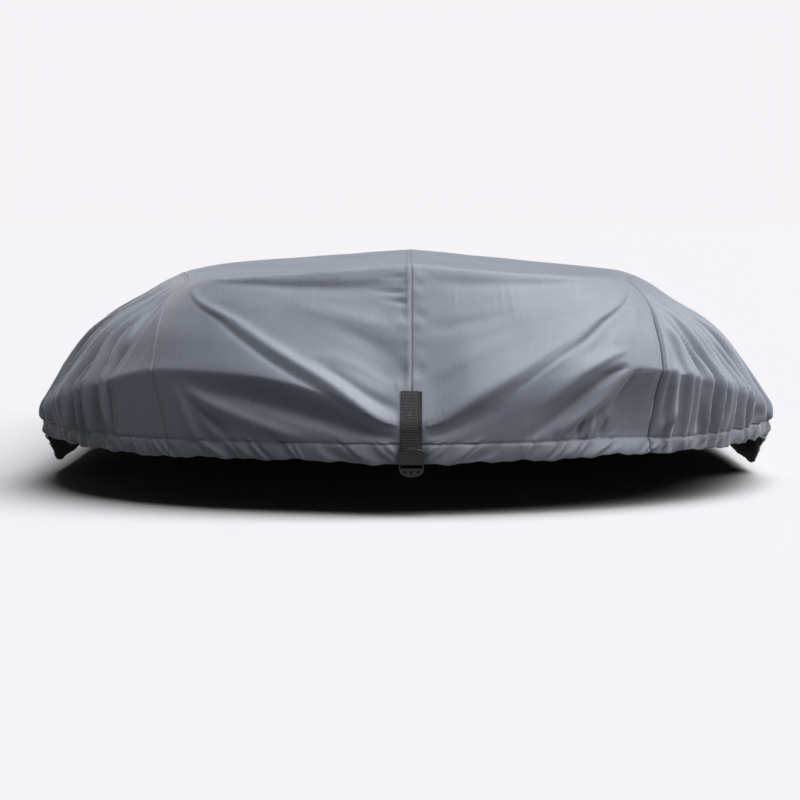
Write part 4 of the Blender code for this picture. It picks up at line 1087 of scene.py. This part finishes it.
def plate_lip(material):
    """The plate's rounded upper lip: a round profile carried along its arch, with closed ends."""
    lip_half, lip_rise = BUCKLE_WIDTH / 2 - RIM_RADIUS, BUCKLE_ARCH - RIM_RADIUS
    arch = arc(RIDGE_TOP - TOP_DROP - BUCKLE_ARCH, lip_half, lip_rise, 4, 176)
    way = unit(np.gradient(arch, axis=0))
    turn = np.linspace(2 * math.pi, 0.0, 16, endpoint=False)
    off = np.cos(turn) * RIM_RADIUS
    x = arch[:, :1] + way[:, 1:] * off
    z = arch[:, 1:] - way[:, :1] * off
    y = plate_back - BUCKLE_PLATE + 0.0004 + np.sin(turn) * RIM_RADIUS + 0 * x
    return tube("plate_lip", np.stack([x, y, z], axis=-1), material, 40)


acetal = black_acetal()
for make in (ladder_lock, webbing_bar, plate_lip):
    moulding = make(acetal)
    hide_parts("bow_buckle")
    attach(moulding, "root")

# ---- Studio ----
# A plain pale floor, soft light from above and a camera at the height of the cover's top. Its lens is given
# by the focal length and the picture's width, both in pixels.

scene = bpy.context.scene
scene.view_settings.view_transform = "Standard"
scene.view_settings.gamma = 0.76

FLOOR_Z, FLOOR_REACH = -0.482, 400.0
corners = [(x * FLOOR_REACH, y * FLOOR_REACH, FLOOR_Z) for x, y in ((-1, -1), (1, -1), (1, 1), (-1, 1))]
floor_paint, _, _ = finish("floor_paint", Base_Color=(0.233, 0.229, 0.234, 1), Roughness=0.9)
floor = add_piece("floor", corners, [(0, 1, 2, 3)], floor_paint)

world = bpy.data.worlds.new("studio")
world.use_nodes = True
sky = Shade(world.node_tree)
way_up = sky.node("ShaderNodeSeparateXYZ", {}, {0: sky.node("ShaderNodeTexCoord", {}, {})}, 2)
low = sky.node("ShaderNodeMapRange", {"interpolation_type": "SMOOTHSTEP"}, {0: way_up, 1: 0.08, 2: 0.14})
shade = sky.mix(low, (0.945, 0.925, 0.945, 1), (0.16, 0.165, 0.18, 1))
world.node_tree.links.new(shade.socket, world.node_tree.nodes["Background"].inputs["Color"])
scene.world = world

lamp = bpy.data.lights.new("softbox", "SUN")
lamp.energy = 4.0 * math.pi
lamp.angle = math.radians(76.0)
softbox = bpy.data.objects.new("softbox", lamp)
softbox.rotation_euler = Vector((0.40, -0.16, 0.90)).to_track_quat("Z", "Y").to_euler()
scene.collection.objects.link(softbox)

camera = bpy.data.objects.new("camera", bpy.data.cameras.new("camera"))
FOCAL_LENGTH, PICTURE_WIDTH = 2890.0, 800.0
camera.data.lens = camera.data.sensor_width * FOCAL_LENGTH / PICTURE_WIDTH
camera.location = (0.0, -6.85, 0.065)
camera.rotation_euler = Euler((math.radians(90.0 - 3.5), 0.0, math.radians(0.228)))
scene.collection.objects.link(camera)
scene.camera = camera
